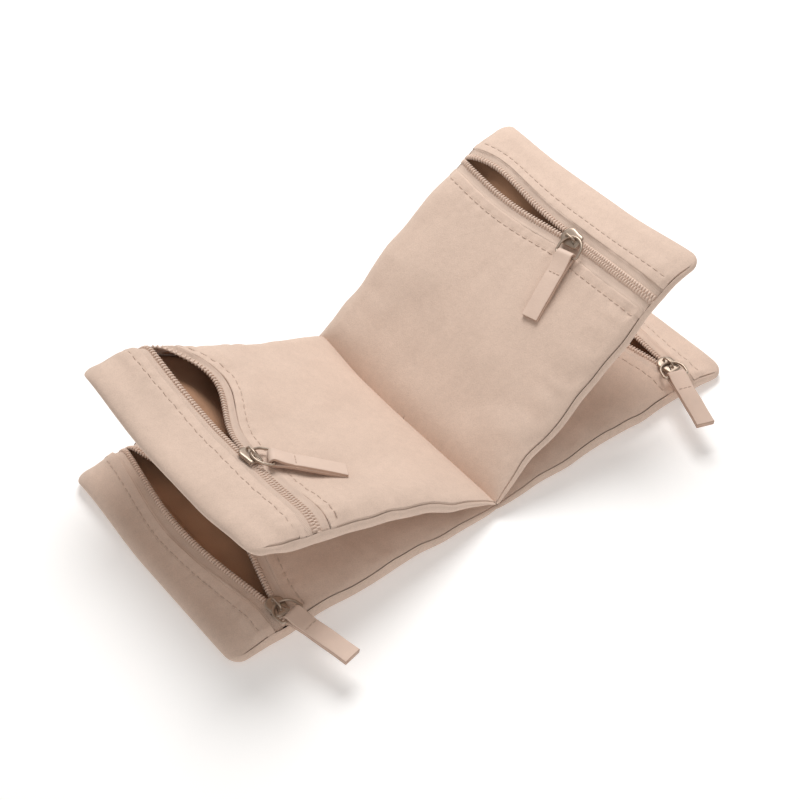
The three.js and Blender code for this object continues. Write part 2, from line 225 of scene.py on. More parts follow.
def columns():
    """Stations across a leaf, from the near side to the far one. For each: place across, height share,
    drop at the turned-in edge; once beside the sewn length of the side seam, once past its end."""
    n, mid = 16, 81
    x0 = FRONT_EDGE - 9.0
    t = 1 - (1 - np.arange(1, n + 1) / n) ** 1.5
    sides = []
    for sign, inset, a in ((-1, SEAM_IN, 6.5), (1, FAR_IN, 11.0)):
        b, e = inset + 0.1, HALF - inset
        meet = HALF - b + b * math.sin(END)
        front = []
        for x in x0 + (e - x0) * t:
            g = float(crown(sign * x))
            front.append(((x, g, 0.0), (x + (meet - e) * ((x - x0) / (e - x0)) ** 2, g, 0.0)))
        turn = (e + 0.30, 0.0, -1.9) if sign < 0 else (e - 0.35, 0.0, -1.3)
        front += [((e + 0.02, 0.0, -0.40), (meet - 0.05, 0.0, -0.15)), (turn, (meet - 0.4, 0.0, -0.6))]
        back = []
        for phi in np.linspace(0, END, n + 1)[1:]:
            x = HALF - a + a * math.sin(phi) if phi < math.pi / 2 else HALF - b + b * math.sin(phi)
            back.append(((x, (1 - math.cos(phi)) / 2, 0.0),) * 2)
        x, g = back[-1][0][:2]
        back += [((x - 0.10, g, -0.40), (x - 0.1, g, -0.12)), ((x - 0.65, g, -1.3), (x - 0.5, g, -0.6))]
        sides.append((front, back))
    flats = ([((x, float(crown(x)), 0.0),) * 2 for x in np.linspace(-x0, x0, mid)],
             [((x, 0.0, 0.0),) * 2 for x in np.linspace(-(HALF - 6.5), HALF - 11.0, mid)])
    out = {}
    for i, name in enumerate(("front", "back")):
        near = [tuple((-x, g, d) for x, g, d in pair) for pair in reversed(sides[0][i])]
        out[name] = np.array(near + flats[i] + sides[1][i], float)
    return out


COLS = columns()


def surface(k, which, u, extra=0.0):
    """(v, w) of the outer face, front or back, at stations u (rows, or rows x columns)."""
    leaf = LEAF[k]
    c = COLS[which]
    u = np.asarray(u, float)
    if u.ndim == 1:
        u = np.repeat(u[:, None], len(c), 1)
    top, bot = faces_of(k, u)
    sc = (top - bot) / THICK
    sewn = 1 - smooth((u - (LENGTH - 8.0)) / 5.0)
    seam = bot + seam_share(c[:, 1, 0]) * (top - bot) + 0.30 * sc * wobble(leaf["seed"], u, 11.0, 34.0) * sewn
    x = c[:, 1, 0] + (c[:, 0, 0] - c[:, 1, 0]) * sewn
    near = np.sqrt(np.clip(sc * 1.6, 0, 1))
    x = np.abs(x) * near + np.abs(COLS["back"][:, 1, 0]) * (1 - near)
    shrink = CORNER - np.sqrt(np.clip(CORNER ** 2 - np.clip(u - LENGTH + CORNER, 0, CORNER) ** 2, 0, None))
    x = x - shrink * smooth((x - 20.0) / 30.0)
    calm = np.where(c[:, 1, 0] > 0, 0.35, 1.0) if k == "tr" else 1.0
    sway = 0.28 * calm * wobble(leaf["seed"] + 3, u, 18.0, 46.0) * smooth((np.abs(c[:, 1, 0]) - 30) / 20)
    v = np.sign(c[:, 1, 0]) * (x + sway)
    g = c[:, 1, 1] + (c[:, 0, 1] - c[:, 1, 1]) * sewn
    drop = (c[:, 1, 2] + (c[:, 0, 2] - c[:, 1, 2]) * sewn) * sc
    rise = side_rise(k, c[:, 1, 0], sc)
    if which == "front":
        low = bot + rise + (seam - bot - rise) * (1 - math.cos(END)) / 2
        end = low + (seam - low) * sewn
        w = end + (top - end) * g + drop
    else:
        w = bot + rise + (seam - bot - rise) * g + drop
        w = w - leaf["step"] * sc * sewn * smooth((g - 0.6) / 0.35) * (c[:, 1, 0] < 0)
    return v, w + extra


def relief(k, which, u, v, ub=None):
    """Soft hand of the cloth: slow dents, puckers at the topstitch and at the side seams."""
    leaf = LEAF[k]
    seed = leaf["seed"]
    body = smooth((u - 4) / 14) * (1 - smooth((u - 99) / 7)) * (1 - smooth((np.abs(v) - 46) / 4))
    edge = smooth((np.abs(v) - 32) / 13) * (1 - smooth((np.abs(v) - 47.5) / 2.4))
    if k == "tr":
        edge = edge * np.where(v > 0, 0.4, 1.0)
    d = 0.24 * (ripple(waves(seed, 7, 26, 70), u, v) - 1.0) * body
    d = d + 0.13 * ripple(waves(seed + 1, 7, 10, 20), u, v) * body * (0.25 + 0.75 * edge)
    d = d + 0.17 * edge * np.sin(2 * math.pi * u / 13.0 + 2.2 * wobble(seed + 5, u, 14, 45) + np.sign(v)) * body
    if which == "front" and ub is not None:
        for row in (leaf["zip"] - LIP - STITCH_IN, leaf["zip"] + LIP + STITCH_OUT):
            far = ub - row
            d = d + 0.17 * np.exp(-(far / 3.6) ** 2) * np.sin(2 * math.pi * v / 6.3 + 1.4 * wobble(seed + 7, v, 9, 30))
            d = d - np.exp(-(far / 0.75) ** 2) * (0.14 + 0.07 * np.cos(2 * math.pi * v / STITCH))
    return d


def grid_normals(p, outward):
    n = np.cross(np.gradient(p, axis=0), np.gradient(p, axis=1))
    size = np.linalg.norm(n, axis=-1, keepdims=True)
    n = n / np.maximum(size, 1e-12)
    weak = size < 0.02 * np.median(size)     # where the grid closes up, the neighbours decide
    for _ in range(12):
        g = np.pad(n * ~weak, ((1, 1), (1, 1), (0, 0)), mode="edge")
        m = g[:-2, 1:-1] + g[2:, 1:-1] + g[1:-1, :-2] + g[1:-1, 2:]
        size = np.linalg.norm(m, axis=-1, keepdims=True)
        found = weak & (size > 1e-6)
        n = np.where(found, m / np.maximum(size, 1e-12), n)
        weak = weak & ~found
    flip = float((n * outward).sum(-1).mean()) < 0
    return (-n if flip else n), flip


def edge_normals(n, u):
    """The turned-in hems do not bend the light on the faces beside them."""
    open_end = (u > LENGTH - 4.5)[:, None]
    for j, i in ((2, 3), (-3, -4)):
        n[:, j] = n[:, i]
    for j, i in ((0, 3), (1, 3), (-1, -4), (-2, -4)):
        n[:, j] = np.where(open_end, n[:, i], n[:, j])
    return n


def up_of(k, sign):
    leaf = LEAF[k]
    a = math.radians(leaf["tilt"]) if leaf["top"] else 0.0
    return sign * np.array([-leaf["side"] * math.sin(a), 0.0, math.cos(a)])


# ------------------------------------------------------------------ mesh helpers
def new_object(name, verts, faces, mat, uvs=None, normals=None, smooth_shade=True):
    me = bpy.data.meshes.new(name)
    me.from_pydata((np.asarray(verts) * MM).tolist(), [], [list(map(int, f)) for f in faces])
    me.materials.append(mat)
    if smooth_shade:
        me.polygons.foreach_set("use_smooth", [True] * len(me.polygons))
    if uvs is not None:
        layer = me.uv_layers.new(name="Cloth")
        idx = np.zeros(len(me.loops), np.int32)
        me.loops.foreach_get("vertex_index", idx)
        layer.uv.foreach_set("vector", np.asarray(uvs, np.float32)[idx].ravel())
    if normals is not None:
        me.normals_split_custom_set_from_vertices(np.asarray(normals, float).tolist())
    me.update()
    ob = bpy.data.objects.new(name, me)
    bpy.context.scene.collection.objects.link(ob)
    return ob


def grid_faces(n, m, flip, base=0):
    i = np.arange(n - 1)[:, None] * m + np.arange(m - 1)[None, :] + base
    quads = np.stack([i, i + m, i + m + 1, i + 1], -1).reshape(-1, 4)
    return quads[:, ::-1] if flip else quads


def thick_grid(p, n, flip, t):
    """A cloth of thickness t under the grid p: vertices, faces and normals of the closed sheet."""
    rows, cols = p.shape[:2]
    m = rows * cols
    verts = np.concatenate([p.reshape(-1, 3), (p - n * t).reshape(-1, 3)])
    faces = [*grid_faces(rows, cols, flip).tolist(), *grid_faces(rows, cols, not flip, m).tolist()]
    rim = [i * cols for i in range(rows)] + [(rows - 1) * cols + j for j in range(1, cols)]
    rim += [i * cols + cols - 1 for i in range(rows - 2, -1, -1)] + list(range(cols - 2, 0, -1))
    for a, b in zip(rim, rim[1:] + rim[:1]):
        faces.append([a, b, b + m, a + m] if flip else [b, a, a + m, b + m])
    return verts, faces, np.concatenate([n.reshape(-1, 3), -n.reshape(-1, 3)])


def twice(a):
    a = np.asarray(a)
    return np.concatenate([a, a])


def lip_blend(ob):
    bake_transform(ob)
    return ob


class Parts:
    """Gathers many small closed bodies into one mesh, with a weight and a pair of texture coordinates each."""

    def __init__(self):
        self.verts, self.faces, self.weights, self.uvs, self.n = [], [], [], [], 0

    def add(self, verts, faces, weights=0.0, uvs=None):
        verts = np.asarray(verts, float)
        self.verts.append(verts)
        self.faces += [[int(i) + self.n for i in f] for f in faces]
        self.weights.append(np.broadcast_to(np.asarray(weights, float), (len(verts),)))
        self.uvs.append(np.zeros((len(verts), 2)) if uvs is None else np.asarray(uvs, float))
        self.n += len(verts)

    def build(self, name, mat):
        ob = new_object(name, np.concatenate(self.verts), self.faces, mat, np.concatenate(self.uvs))
        return ob, np.concatenate(self.weights)


def tube(path, radius, sides=8, closed=False, up=(0, 0, 1), flat=1.0, taper=None):
    """Round (or flattened) tube along a path; closed ends unless the path is a loop."""
    path = np.asarray(path, float)
    n = len(path)
    if closed:
        tang = np.roll(path, -1, 0) - np.roll(path, 1, 0)
    else:
        tang = np.gradient(path, axis=0)
    tang /= np.linalg.norm(tang, axis=1, keepdims=True)
    up = np.broadcast_to(np.asarray(up, float), path.shape)
    side = np.cross(tang, up)
    side /= np.maximum(np.linalg.norm(side, axis=1, keepdims=True), 1e-9)
    top = np.cross(side, tang)
    a = np.arange(sides) * 2 * math.pi / sides
    r = np.full(n, radius) if taper is None else radius * np.asarray(taper)
    ring = path[:, None, :] + r[:, None, None] * (np.cos(a)[None, :, None] * side[:, None, :] + flat * np.sin(a)[None, :, None] * top[:, None, :])
    verts = ring.reshape(-1, 3)
    faces = []
    last = n if closed else n - 1
    for i in range(last):
        j = (i + 1) % n
        for q in range(sides):
            p = (q + 1) % sides
            faces.append([i * sides + q, i * sides + p, j * sides + p, j * sides + q])
    if not closed:
        verts = np.concatenate([verts, path[:1], path[-1:]])
        c0, c1 = n * sides, n * sides + 1
        for q in range(sides):
            p = (q + 1) % sides
            faces.append([c0, p, q])
            faces.append([c1, (n - 1) * sides + q, (n - 1) * sides + p])
    return verts, faces


# ------------------------------------------------------------------ materials
def material(name):
    m = bpy.data.materials.new(name)
    m.use_nodes = True
    t = m.node_tree
    return m, t.nodes, t.links, t.nodes["Principled BSDF"]


def node(nodes, kind, **values):
    n = nodes.new(kind)
    for key, value in values.items():
        if key in n.inputs:
            n.inputs[key].default_value = value
        else:
            setattr(n, key, value)
    return n


def ramp(nodes, stops):
    r = nodes.new("ShaderNodeValToRGB")
    els = r.color_ramp.elements
    while len(els) < len(stops):
        els.new(0.5)
    for e, (pos, col) in zip(els, stops):
        e.position = pos
        e.color = (*col, 1) if len(col) == 3 else col
    return r


def grey(x):
    return (x, x, x)


def mixed(nodes, links, kind, fac, a, b):
    m = nodes.new("ShaderNodeMix")
    m.data_type = "RGBA"
    m.blend_type = kind
    m.inputs[0].default_value = fac
    for i, src in ((6, a), (7, b)):
        if isinstance(src, tuple):
            m.inputs[i].default_value = (*src, 1)
        else:
            links.new(src, m.inputs[i])
    return m.outputs[2]


def suede(name, colour, dark=0.86):
    m, nodes, links, b = material(name)
    co = nodes.new("ShaderNodeTexCoord").outputs["Object"]
    slow = node(nodes, "ShaderNodeTexNoise", Scale=55.0, Detail=3.0, Roughness=0.55)
    nap = node(nodes, "ShaderNodeTexNoise", Scale=420.0, Detail=4.0, Roughness=0.6)
    fine = node(nodes, "ShaderNodeTexNoise", Scale=2600.0, Detail=2.0, Roughness=0.6)
    for n in (slow, nap, fine):
        links.new(co, n.inputs["Vector"])
    r1 = ramp(nodes, [(0.30, tuple(c * 0.955 for c in colour)), (0.70, tuple(min(1, c * 1.03) for c in colour))])
    links.new(slow.outputs["Fac"], r1.inputs[0])
    r2 = ramp(nodes, [(0.25, grey(dark)), (0.75, grey(1.0))])
    links.new(nap.outputs["Fac"], r2.inputs[0])
    r3 = ramp(nodes, [(0.30, grey(0.80)), (0.62, grey(1.0))])
    links.new(fine.outputs["Fac"], r3.inputs[0])
    c = mixed(nodes, links, "MULTIPLY", 0.55, r1.outputs[0], r2.outputs[0])
    c = mixed(nodes, links, "MULTIPLY", 0.55, c, r3.outputs[0])
    links.new(c, b.inputs["Base Color"])
    b.inputs["Roughness"].default_value = 0.93
    b.inputs["Specular IOR Level"].default_value = 0.22
    b.inputs["Sheen Weight"].default_value = 0.22
    b.inputs["Sheen Roughness"].default_value = 0.45
    b.inputs["Sheen Tint"].default_value = (1.0, 0.93, 0.88, 1)
    b1 = node(nodes, "ShaderNodeBump", Strength=0.30, Distance=0.00022)
    b2 = node(nodes, "ShaderNodeBump", Strength=0.22, Distance=0.0006)
    links.new(fine.outputs["Fac"], b1.inputs["Height"])
    links.new(nap.outputs["Fac"], b2.inputs["Height"])
    links.new(b2.outputs["Normal"], b1.inputs["Normal"])
    links.new(b1.outputs["Normal"], b.inputs["Normal"])
    return m


def woven(name, colour, dark, along, across, slant=0.0, depth=0.0003, rough=0.85, sheen=0.1):
    """Plain or slanted weave from the piece's own cloth coordinates, in millimetres."""
    m, nodes, links, b = material(name)
    uv = nodes.new("ShaderNodeUVMap")
    uv.uv_map = "Cloth"
    turn = node(nodes, "ShaderNodeMapping")
    turn.inputs["Rotation"].default_value = (0, 0, slant)
    links.new(uv.outputs[0], turn.inputs["Vector"])
    warp = node(nodes, "ShaderNodeTexWave", Scale=along, Distortion=0.6, Detail=1.0)
    warp.inputs["Detail Scale"].default_value = 2.0
    warp.bands_direction = "X"
    weft = node(nodes, "ShaderNodeTexWave", Scale=across, Distortion=0.6, Detail=1.0)
    weft.inputs["Detail Scale"].default_value = 2.0
    weft.bands_direction = "Y"
    for n in (warp, weft):
        links.new(turn.outputs[0], n.inputs["Vector"])
    co = nodes.new("ShaderNodeTexCoord").outputs["Object"]
    slow = node(nodes, "ShaderNodeTexNoise", Scale=130.0, Detail=3.0)
    links.new(co, slow.inputs["Vector"])
    both = nodes.new("ShaderNodeMath")
    both.operation = "MULTIPLY"
    links.new(warp.outputs["Fac"], both.inputs[0])
    links.new(weft.outputs["Fac"], both.inputs[1])
    r = ramp(nodes, [(0.0, dark), (0.75, colour)])
    links.new(both.outputs[0], r.inputs[0])
    r2 = ramp(nodes, [(0.3, grey(0.88)), (0.7, grey(1.0))])
    links.new(slow.outputs["Fac"], r2.inputs[0])
    c = mixed(nodes, links, "MULTIPLY", 0.8, r.outputs[0], r2.outputs[0])
    links.new(c, b.inputs["Base Color"])
    b.inputs["Roughness"].default_value = rough
    b.inputs["Specular IOR Level"].default_value = 0.25
    b.inputs["Sheen Weight"].default_value = sheen
    bump = node(nodes, "ShaderNodeBump", Strength=0.55, Distance=depth)
    links.new(both.outputs[0], bump.inputs["Height"])
    links.new(bump.outputs["Normal"], b.inputs["Normal"])
    return m


def nylon(name, colour):
    m, nodes, links, b = material(name)
    co = nodes.new("ShaderNodeTexCoord").outputs["Object"]
    n = node(nodes, "ShaderNodeTexNoise", Scale=900.0, Detail=3.0)
    links.new(co, n.inputs["Vector"])
    r = ramp(nodes, [(0.3, tuple(c * 0.86 for c in colour)), (0.7, colour)])
    links.new(n.outputs["Fac"], r.inputs[0])
    links.new(r.outputs[0], b.inputs["Base Color"])
    rr = ramp(nodes, [(0.3, grey(0.40)), (0.7, grey(0.56))])
    links.new(n.outputs["Fac"], rr.inputs[0])
    links.new(rr.outputs[0], b.inputs["Roughness"])
    b.inputs["Specular IOR Level"].default_value = 0.45
    bump = node(nodes, "ShaderNodeBump", Strength=0.15, Distance=0.0001)
    links.new(n.outputs["Fac"], bump.inputs["Height"])
    links.new(bump.outputs["Normal"], b.inputs["Normal"])
    return m


def thread(name, colour):
    m, nodes, links, b = material(name)
    co = nodes.new("ShaderNodeTexCoord").outputs["Object"]
    turn = node(nodes, "ShaderNodeMapping")
    turn.inputs["Rotation"].default_value = (0.6, 0.4, 0.7)
    links.new(co, turn.inputs["Vector"])
    w = node(nodes, "ShaderNodeTexWave", Scale=900.0, Distortion=1.0, Detail=1.0)
    links.new(turn.outputs[0], w.inputs["Vector"])
    r = ramp(nodes, [(0.0, tuple(c * 0.7 for c in colour)), (0.6, colour)])
    links.new(w.outputs["Fac"], r.inputs[0])
    links.new(r.outputs[0], b.inputs["Base Color"])
    b.inputs["Roughness"].default_value = 0.75
    bump = node(nodes, "ShaderNodeBump", Strength=0.5, Distance=0.00015)
    links.new(w.outputs["Fac"], bump.inputs["Height"])
    links.new(bump.outputs["Normal"], b.inputs["Normal"])
    return m


def brushed(name, colour):
    m, nodes, links, b = material(name)
    co = nodes.new("ShaderNodeTexCoord").outputs["Object"]
    n = node(nodes, "ShaderNodeTexNoise", Scale=350.0, Detail=5.0, Roughness=0.65)
    s = node(nodes, "ShaderNodeMapping")
    s.inputs["Scale"].default_value = (1.0, 6.0, 1.0)
    links.new(co, s.inputs["Vector"])
    links.new(s.outputs[0], n.inputs["Vector"])
    r = ramp(nodes, [(0.3, tuple(c * 0.9 for c in colour)), (0.7, colour)])
    links.new(n.outputs["Fac"], r.inputs[0])
    links.new(r.outputs[0], b.inputs["Base Color"])
    b.inputs["Metallic"].default_value = 1.0
    rr = ramp(nodes, [(0.3, grey(0.40)), (0.75, grey(0.54))])
    links.new(n.outputs["Fac"], rr.inputs[0])
    links.new(rr.outputs[0], b.inputs["Roughness"])
    bump = node(nodes, "ShaderNodeBump", Strength=0.05, Distance=0.0001)
    links.new(n.outputs["Fac"], bump.inputs["Height"])
    links.new(bump.outputs["Normal"], b.inputs["Normal"])
    return m


def leather(name, colour, edge):
    m, nodes, links, b = material(name)
    co = nodes.new("ShaderNodeTexCoord").outputs["Object"]
    grain = node(nodes, "ShaderNodeTexVoronoi", Scale=1500.0)
    slow = node(nodes, "ShaderNodeTexNoise", Scale=160.0, Detail=4.0)
    links.new(co, grain.inputs["Vector"])
    links.new(co, slow.inputs["Vector"])
    r = ramp(nodes, [(0.25, tuple(c * 0.93 for c in colour)), (0.75, tuple(min(1, c * 1.03) for c in colour))])
    links.new(slow.outputs["Fac"], r.inputs[0])
    uv = nodes.new("ShaderNodeUVMap")
    uv.uv_map = "Cloth"
    sep = nodes.new("ShaderNodeSeparateXYZ")
    links.new(uv.outputs[0], sep.inputs[0])
    r2 = ramp(nodes, [(0.0, grey(1.0)), (0.9, grey(1.0)), (1.0, edge)])
    links.new(sep.outputs["X"], r2.inputs[0])
    c = mixed(nodes, links, "MULTIPLY", 1.0, r.outputs[0], r2.outputs[0])
    links.new(c, b.inputs["Base Color"])
    rr = ramp(nodes, [(0.3, grey(0.55)), (0.7, grey(0.68))])
    links.new(slow.outputs["Fac"], rr.inputs[0])
    links.new(rr.outputs[0], b.inputs["Roughness"])
    b.inputs["Specular IOR Level"].default_value = 0.35
    b.inputs["Sheen Weight"].default_value = 0.08
    b1 = node(nodes, "ShaderNodeBump", Strength=0.16, Distance=0.0002)
    links.new(grain.outputs["Distance"], b1.inputs["Height"])
    b2 = node(nodes, "ShaderNodeBump", Strength=0.12, Distance=0.0006)
    links.new(slow.outputs["Fac"], b2.inputs["Height"])
    links.new(b2.outputs["Normal"], b1.inputs["Normal"])
    links.new(b1.outputs["Normal"], b.inputs["Normal"])
    return m


SUEDE = suede("suede", (0.745, 0.575, 0.475))
LINING = woven("lining", (0.600, 0.345, 0.215), (0.470, 0.260, 0.155), 1.6, 1.6, slant=0.785, depth=0.00015, rough=0.8)
TAPE = woven("zip_tape", (0.86, 0.675, 0.565), (0.70, 0.54, 0.445), 1.3, 0.75, slant=0.45, depth=0.0003)
COIL = nylon("zip_coil", (0.74, 0.57, 0.47))
THREAD = thread("thread", (0.64, 0.485, 0.395))
METAL = brushed("metal", (0.50, 0.405, 0.33))
LEATHER = leather("leather", (0.73, 0.56, 0.465), (0.70, 0.62, 0.57))


# ------------------------------------------------------------------ cloth of one leaf
SETTLED = {}


def front_rows(k):
    """Stations of the front panel: base u (lip straight), drop at the turned edge."""
    leaf = LEAF[k]
    end = leaf["zip"] - LIP
    row = end - STITCH_IN
    plain = list(np.arange(leaf["split"], row - 2.0, 1.25))
    root = list(np.linspace(leaf["u0"], leaf["split"], 9 if leaf["split"] > 0 else 1)[:-1]) if leaf["split"] > 0 else []
    near = [row - 1.5, row - 0.9, row - 0.45, row, row + 0.45, row + 0.9, row + 1.5, end - 1.3]
    lip = [(end - 0.75, 0.05), (end - 0.35, 0.0), (end - 0.1, -0.13), (end, -0.36), (end - 0.1, -0.58), (end - 0.5, -0.72), (end - 2.8, -0.76)]
    rows = [(u, 0.0) for u in root + plain + near] + lip
    return np.array(rows), len(root)


def front_fall(k, ub):
    leaf = LEAF[k]
    end = leaf["zip"] - LIP
    return smooth((ub - (end - 34.0)) / 34.0)


def make_front(k):
    leaf = LEAF[k]
    rows, nroot = front_rows(k)
    ub = rows[:, 0]
    c = COLS["front"]
    vcol = np.repeat(c[None, :, 1, 0], len(ub), 0)
    fall = np.where(rows[:, 1] < 0, 1.0, front_fall(k, ub))
    weight = fall[:, None] * bow_shape(k, vcol)
    u = ub[:, None] - leaf["inner"] * weight
    v, w = surface(k, "front", u)
    weight = fall[:, None] * bow_shape(k, v)
    u = ub[:, None] - leaf["inner"] * weight
    side = 1 - smooth((np.abs(v) - 46.5) / 2.5)
    w = w + rows[:, 1][:, None] * (0.35 + 0.65 * side)
    w = w + relief(k, "front", u, v, ub[:, None])
    gather = 0.9 * weight * (1 - weight) * 4 * min(1.0, leaf["inner"] / 13.0) + 0.5 * weight * leaf["inner"] / 13.0
    w = w + gather * side + SETTLED.get((k, "front"), 0.0)
    p = place(k, u, v, w)
    n, flip = grid_normals(p, up_of(k, 1))
    n = edge_normals(n, ub)
    uv = np.stack([ub[:, None] + 0 * v, v], -1) * 0.1
    return p, n, flip, weight, uv, nroot


def shell_rows(k):
    """Stations round the shell: back from the seam to the end fold, then the end band to its turned edge."""
    leaf = LEAF[k]
    start = leaf["zip"] + LIP
    row = start + STITCH_OUT
    root = list(np.linspace(leaf["u0"], leaf["split"], 9)[:-1]) if leaf["split"] > 0 else []
    back = list(np.arange(leaf["split"], LENGTH - NOSE - 0.6, 1.25))
    arc = [LENGTH - NOSE + NOSE * math.sin(a) for a in np.linspace(0, math.pi / 2, 15)]
    front = [x for x in arc[:-1][::-1]]
    u_low = row + 1.5
    front = [x for x in front if x > u_low + 0.5]
    extra = list(np.arange(front[-1] - 1.1, u_low + 0.5, -1.1)) if front[-1] - 1.1 > u_low + 0.5 else []
    near = [row + 1.5, row + 0.9, row + 0.45, row, row - 0.45, row - 0.9, row - 1.5, start + 1.3]
    lip = [(start + 0.75, 0.05), (start + 0.35, 0.0), (start + 0.1, -0.13), (start, -0.36), (start + 0.1, -0.58), (start + 0.5, -0.72), (start + 2.8, -0.76)]
    rows = [(0, u, 0.0) for u in root + back + arc] + [(1, u, 0.0) for u in front + extra + near] + [(1, u, d) for u, d in lip]
    return np.array(rows), len(root)


def make_shell(k):
    leaf = LEAF[k]
    rows, nroot = shell_rows(k)
    kind, ub = rows[:, 0], rows[:, 1]
    start = leaf["zip"] + LIP
    fall = np.where(kind > 0, 1 - smooth((ub - start) / (LENGTH - 2.0 - start)), 0.0)
    fall = np.where(rows[:, 2] < 0, 1.0, fall)
    c = COLS["front"]
    vcol = np.repeat(c[None, :, 1, 0], len(ub), 0)
    weight = fall[:, None] * bow_shape(k, vcol, 1)
    u = ub[:, None] + leaf["outer"] * weight
    vf, wf = surface(k, "front", u)
    vb, wb = surface(k, "back", u)
    isf = (kind > 0)[:, None]
    v, w = np.where(isf, vf, vb), np.where(isf, wf, wb)
    weight = fall[:, None] * bow_shape(k, v, 1)
    u = np.where(isf, ub[:, None] + leaf["outer"] * weight, ub[:, None])
    side = 1 - smooth((np.abs(v) - 46.5) / 2.5)
    w = w + rows[:, 2][:, None] * (0.35 + 0.65 * side)
    soft = relief(k, "front", u, v, ub[:, None]) * isf - relief(k, "back", u, v) * ~isf * (1.0 if leaf["top"] else 0.25)
    w = w + soft
    w = w + SETTLED.get((k, "body"), 0.0)
    if not leaf["top"]:
        w = np.maximum(w, 0.02)
    p = place(k, u, v, w)
    m = len(c) // 2
    n, flip = grid_normals(p, np.zeros(3))
    if float(n[nroot + 20, m] @ up_of(k, -1)) < 0:
        n, flip = -n, not flip
    n = edge_normals(n, ub)
    # round the end fold every normal points away from the middle of the roll
    top, bot = faces_of(k, np.full_like(v, LENGTH - 9.0))
    core = place(k, LENGTH - 9.0, np.clip(v, 9.0 - HALF, HALF - 9.0), (top + bot) / 2)
    away = p - core
    away = away / np.maximum(np.linalg.norm(away, axis=-1, keepdims=True), 1e-9)
    wrong = ((n * away).sum(-1) < 0.05) & (ub > LENGTH - 6.0)[:, None]
    n = np.where(wrong[..., None], away, n)
    uv = np.stack([np.where(isf, 2 * LENGTH - ub[:, None], ub[:, None]) + 0 * v, v], -1) * 0.1
    return p, n, flip, weight, uv, nroot


FLATS = {}


def flat_size(name, p):
    """Width and length of the flat piece of cloth, measured along the grid, in metres."""
    across = np.linalg.norm(np.diff(p, axis=1), axis=-1).sum(1).mean()
    along = np.linalg.norm(np.diff(p, axis=0), axis=-1).sum(0).mean()
    FLATS[name] = (round(float(across) * MM, 4), round(float(along) * MM, 4))
    return FLATS[name]


def sheet_from(name, p, n, flip, uv, mat, thickness):
    verts, faces, normals = thick_grid(p, n, flip, thickness)
    return new_object(name, verts, faces, mat, twice(uv.reshape(-1, 2)), normals)


def blur(a, times):
    for _ in range(times):
        g = np.pad(a, 1, mode="edge")
        a = (4 * g[1:-1, 1:-1] + 2 * (g[:-2, 1:-1] + g[2:, 1:-1] + g[1:-1, :-2] + g[1:-1, 2:])
             + g[:-2, :-2] + g[:-2, 2:] + g[2:, :-2] + g[2:, 2:]) / 16
    return a


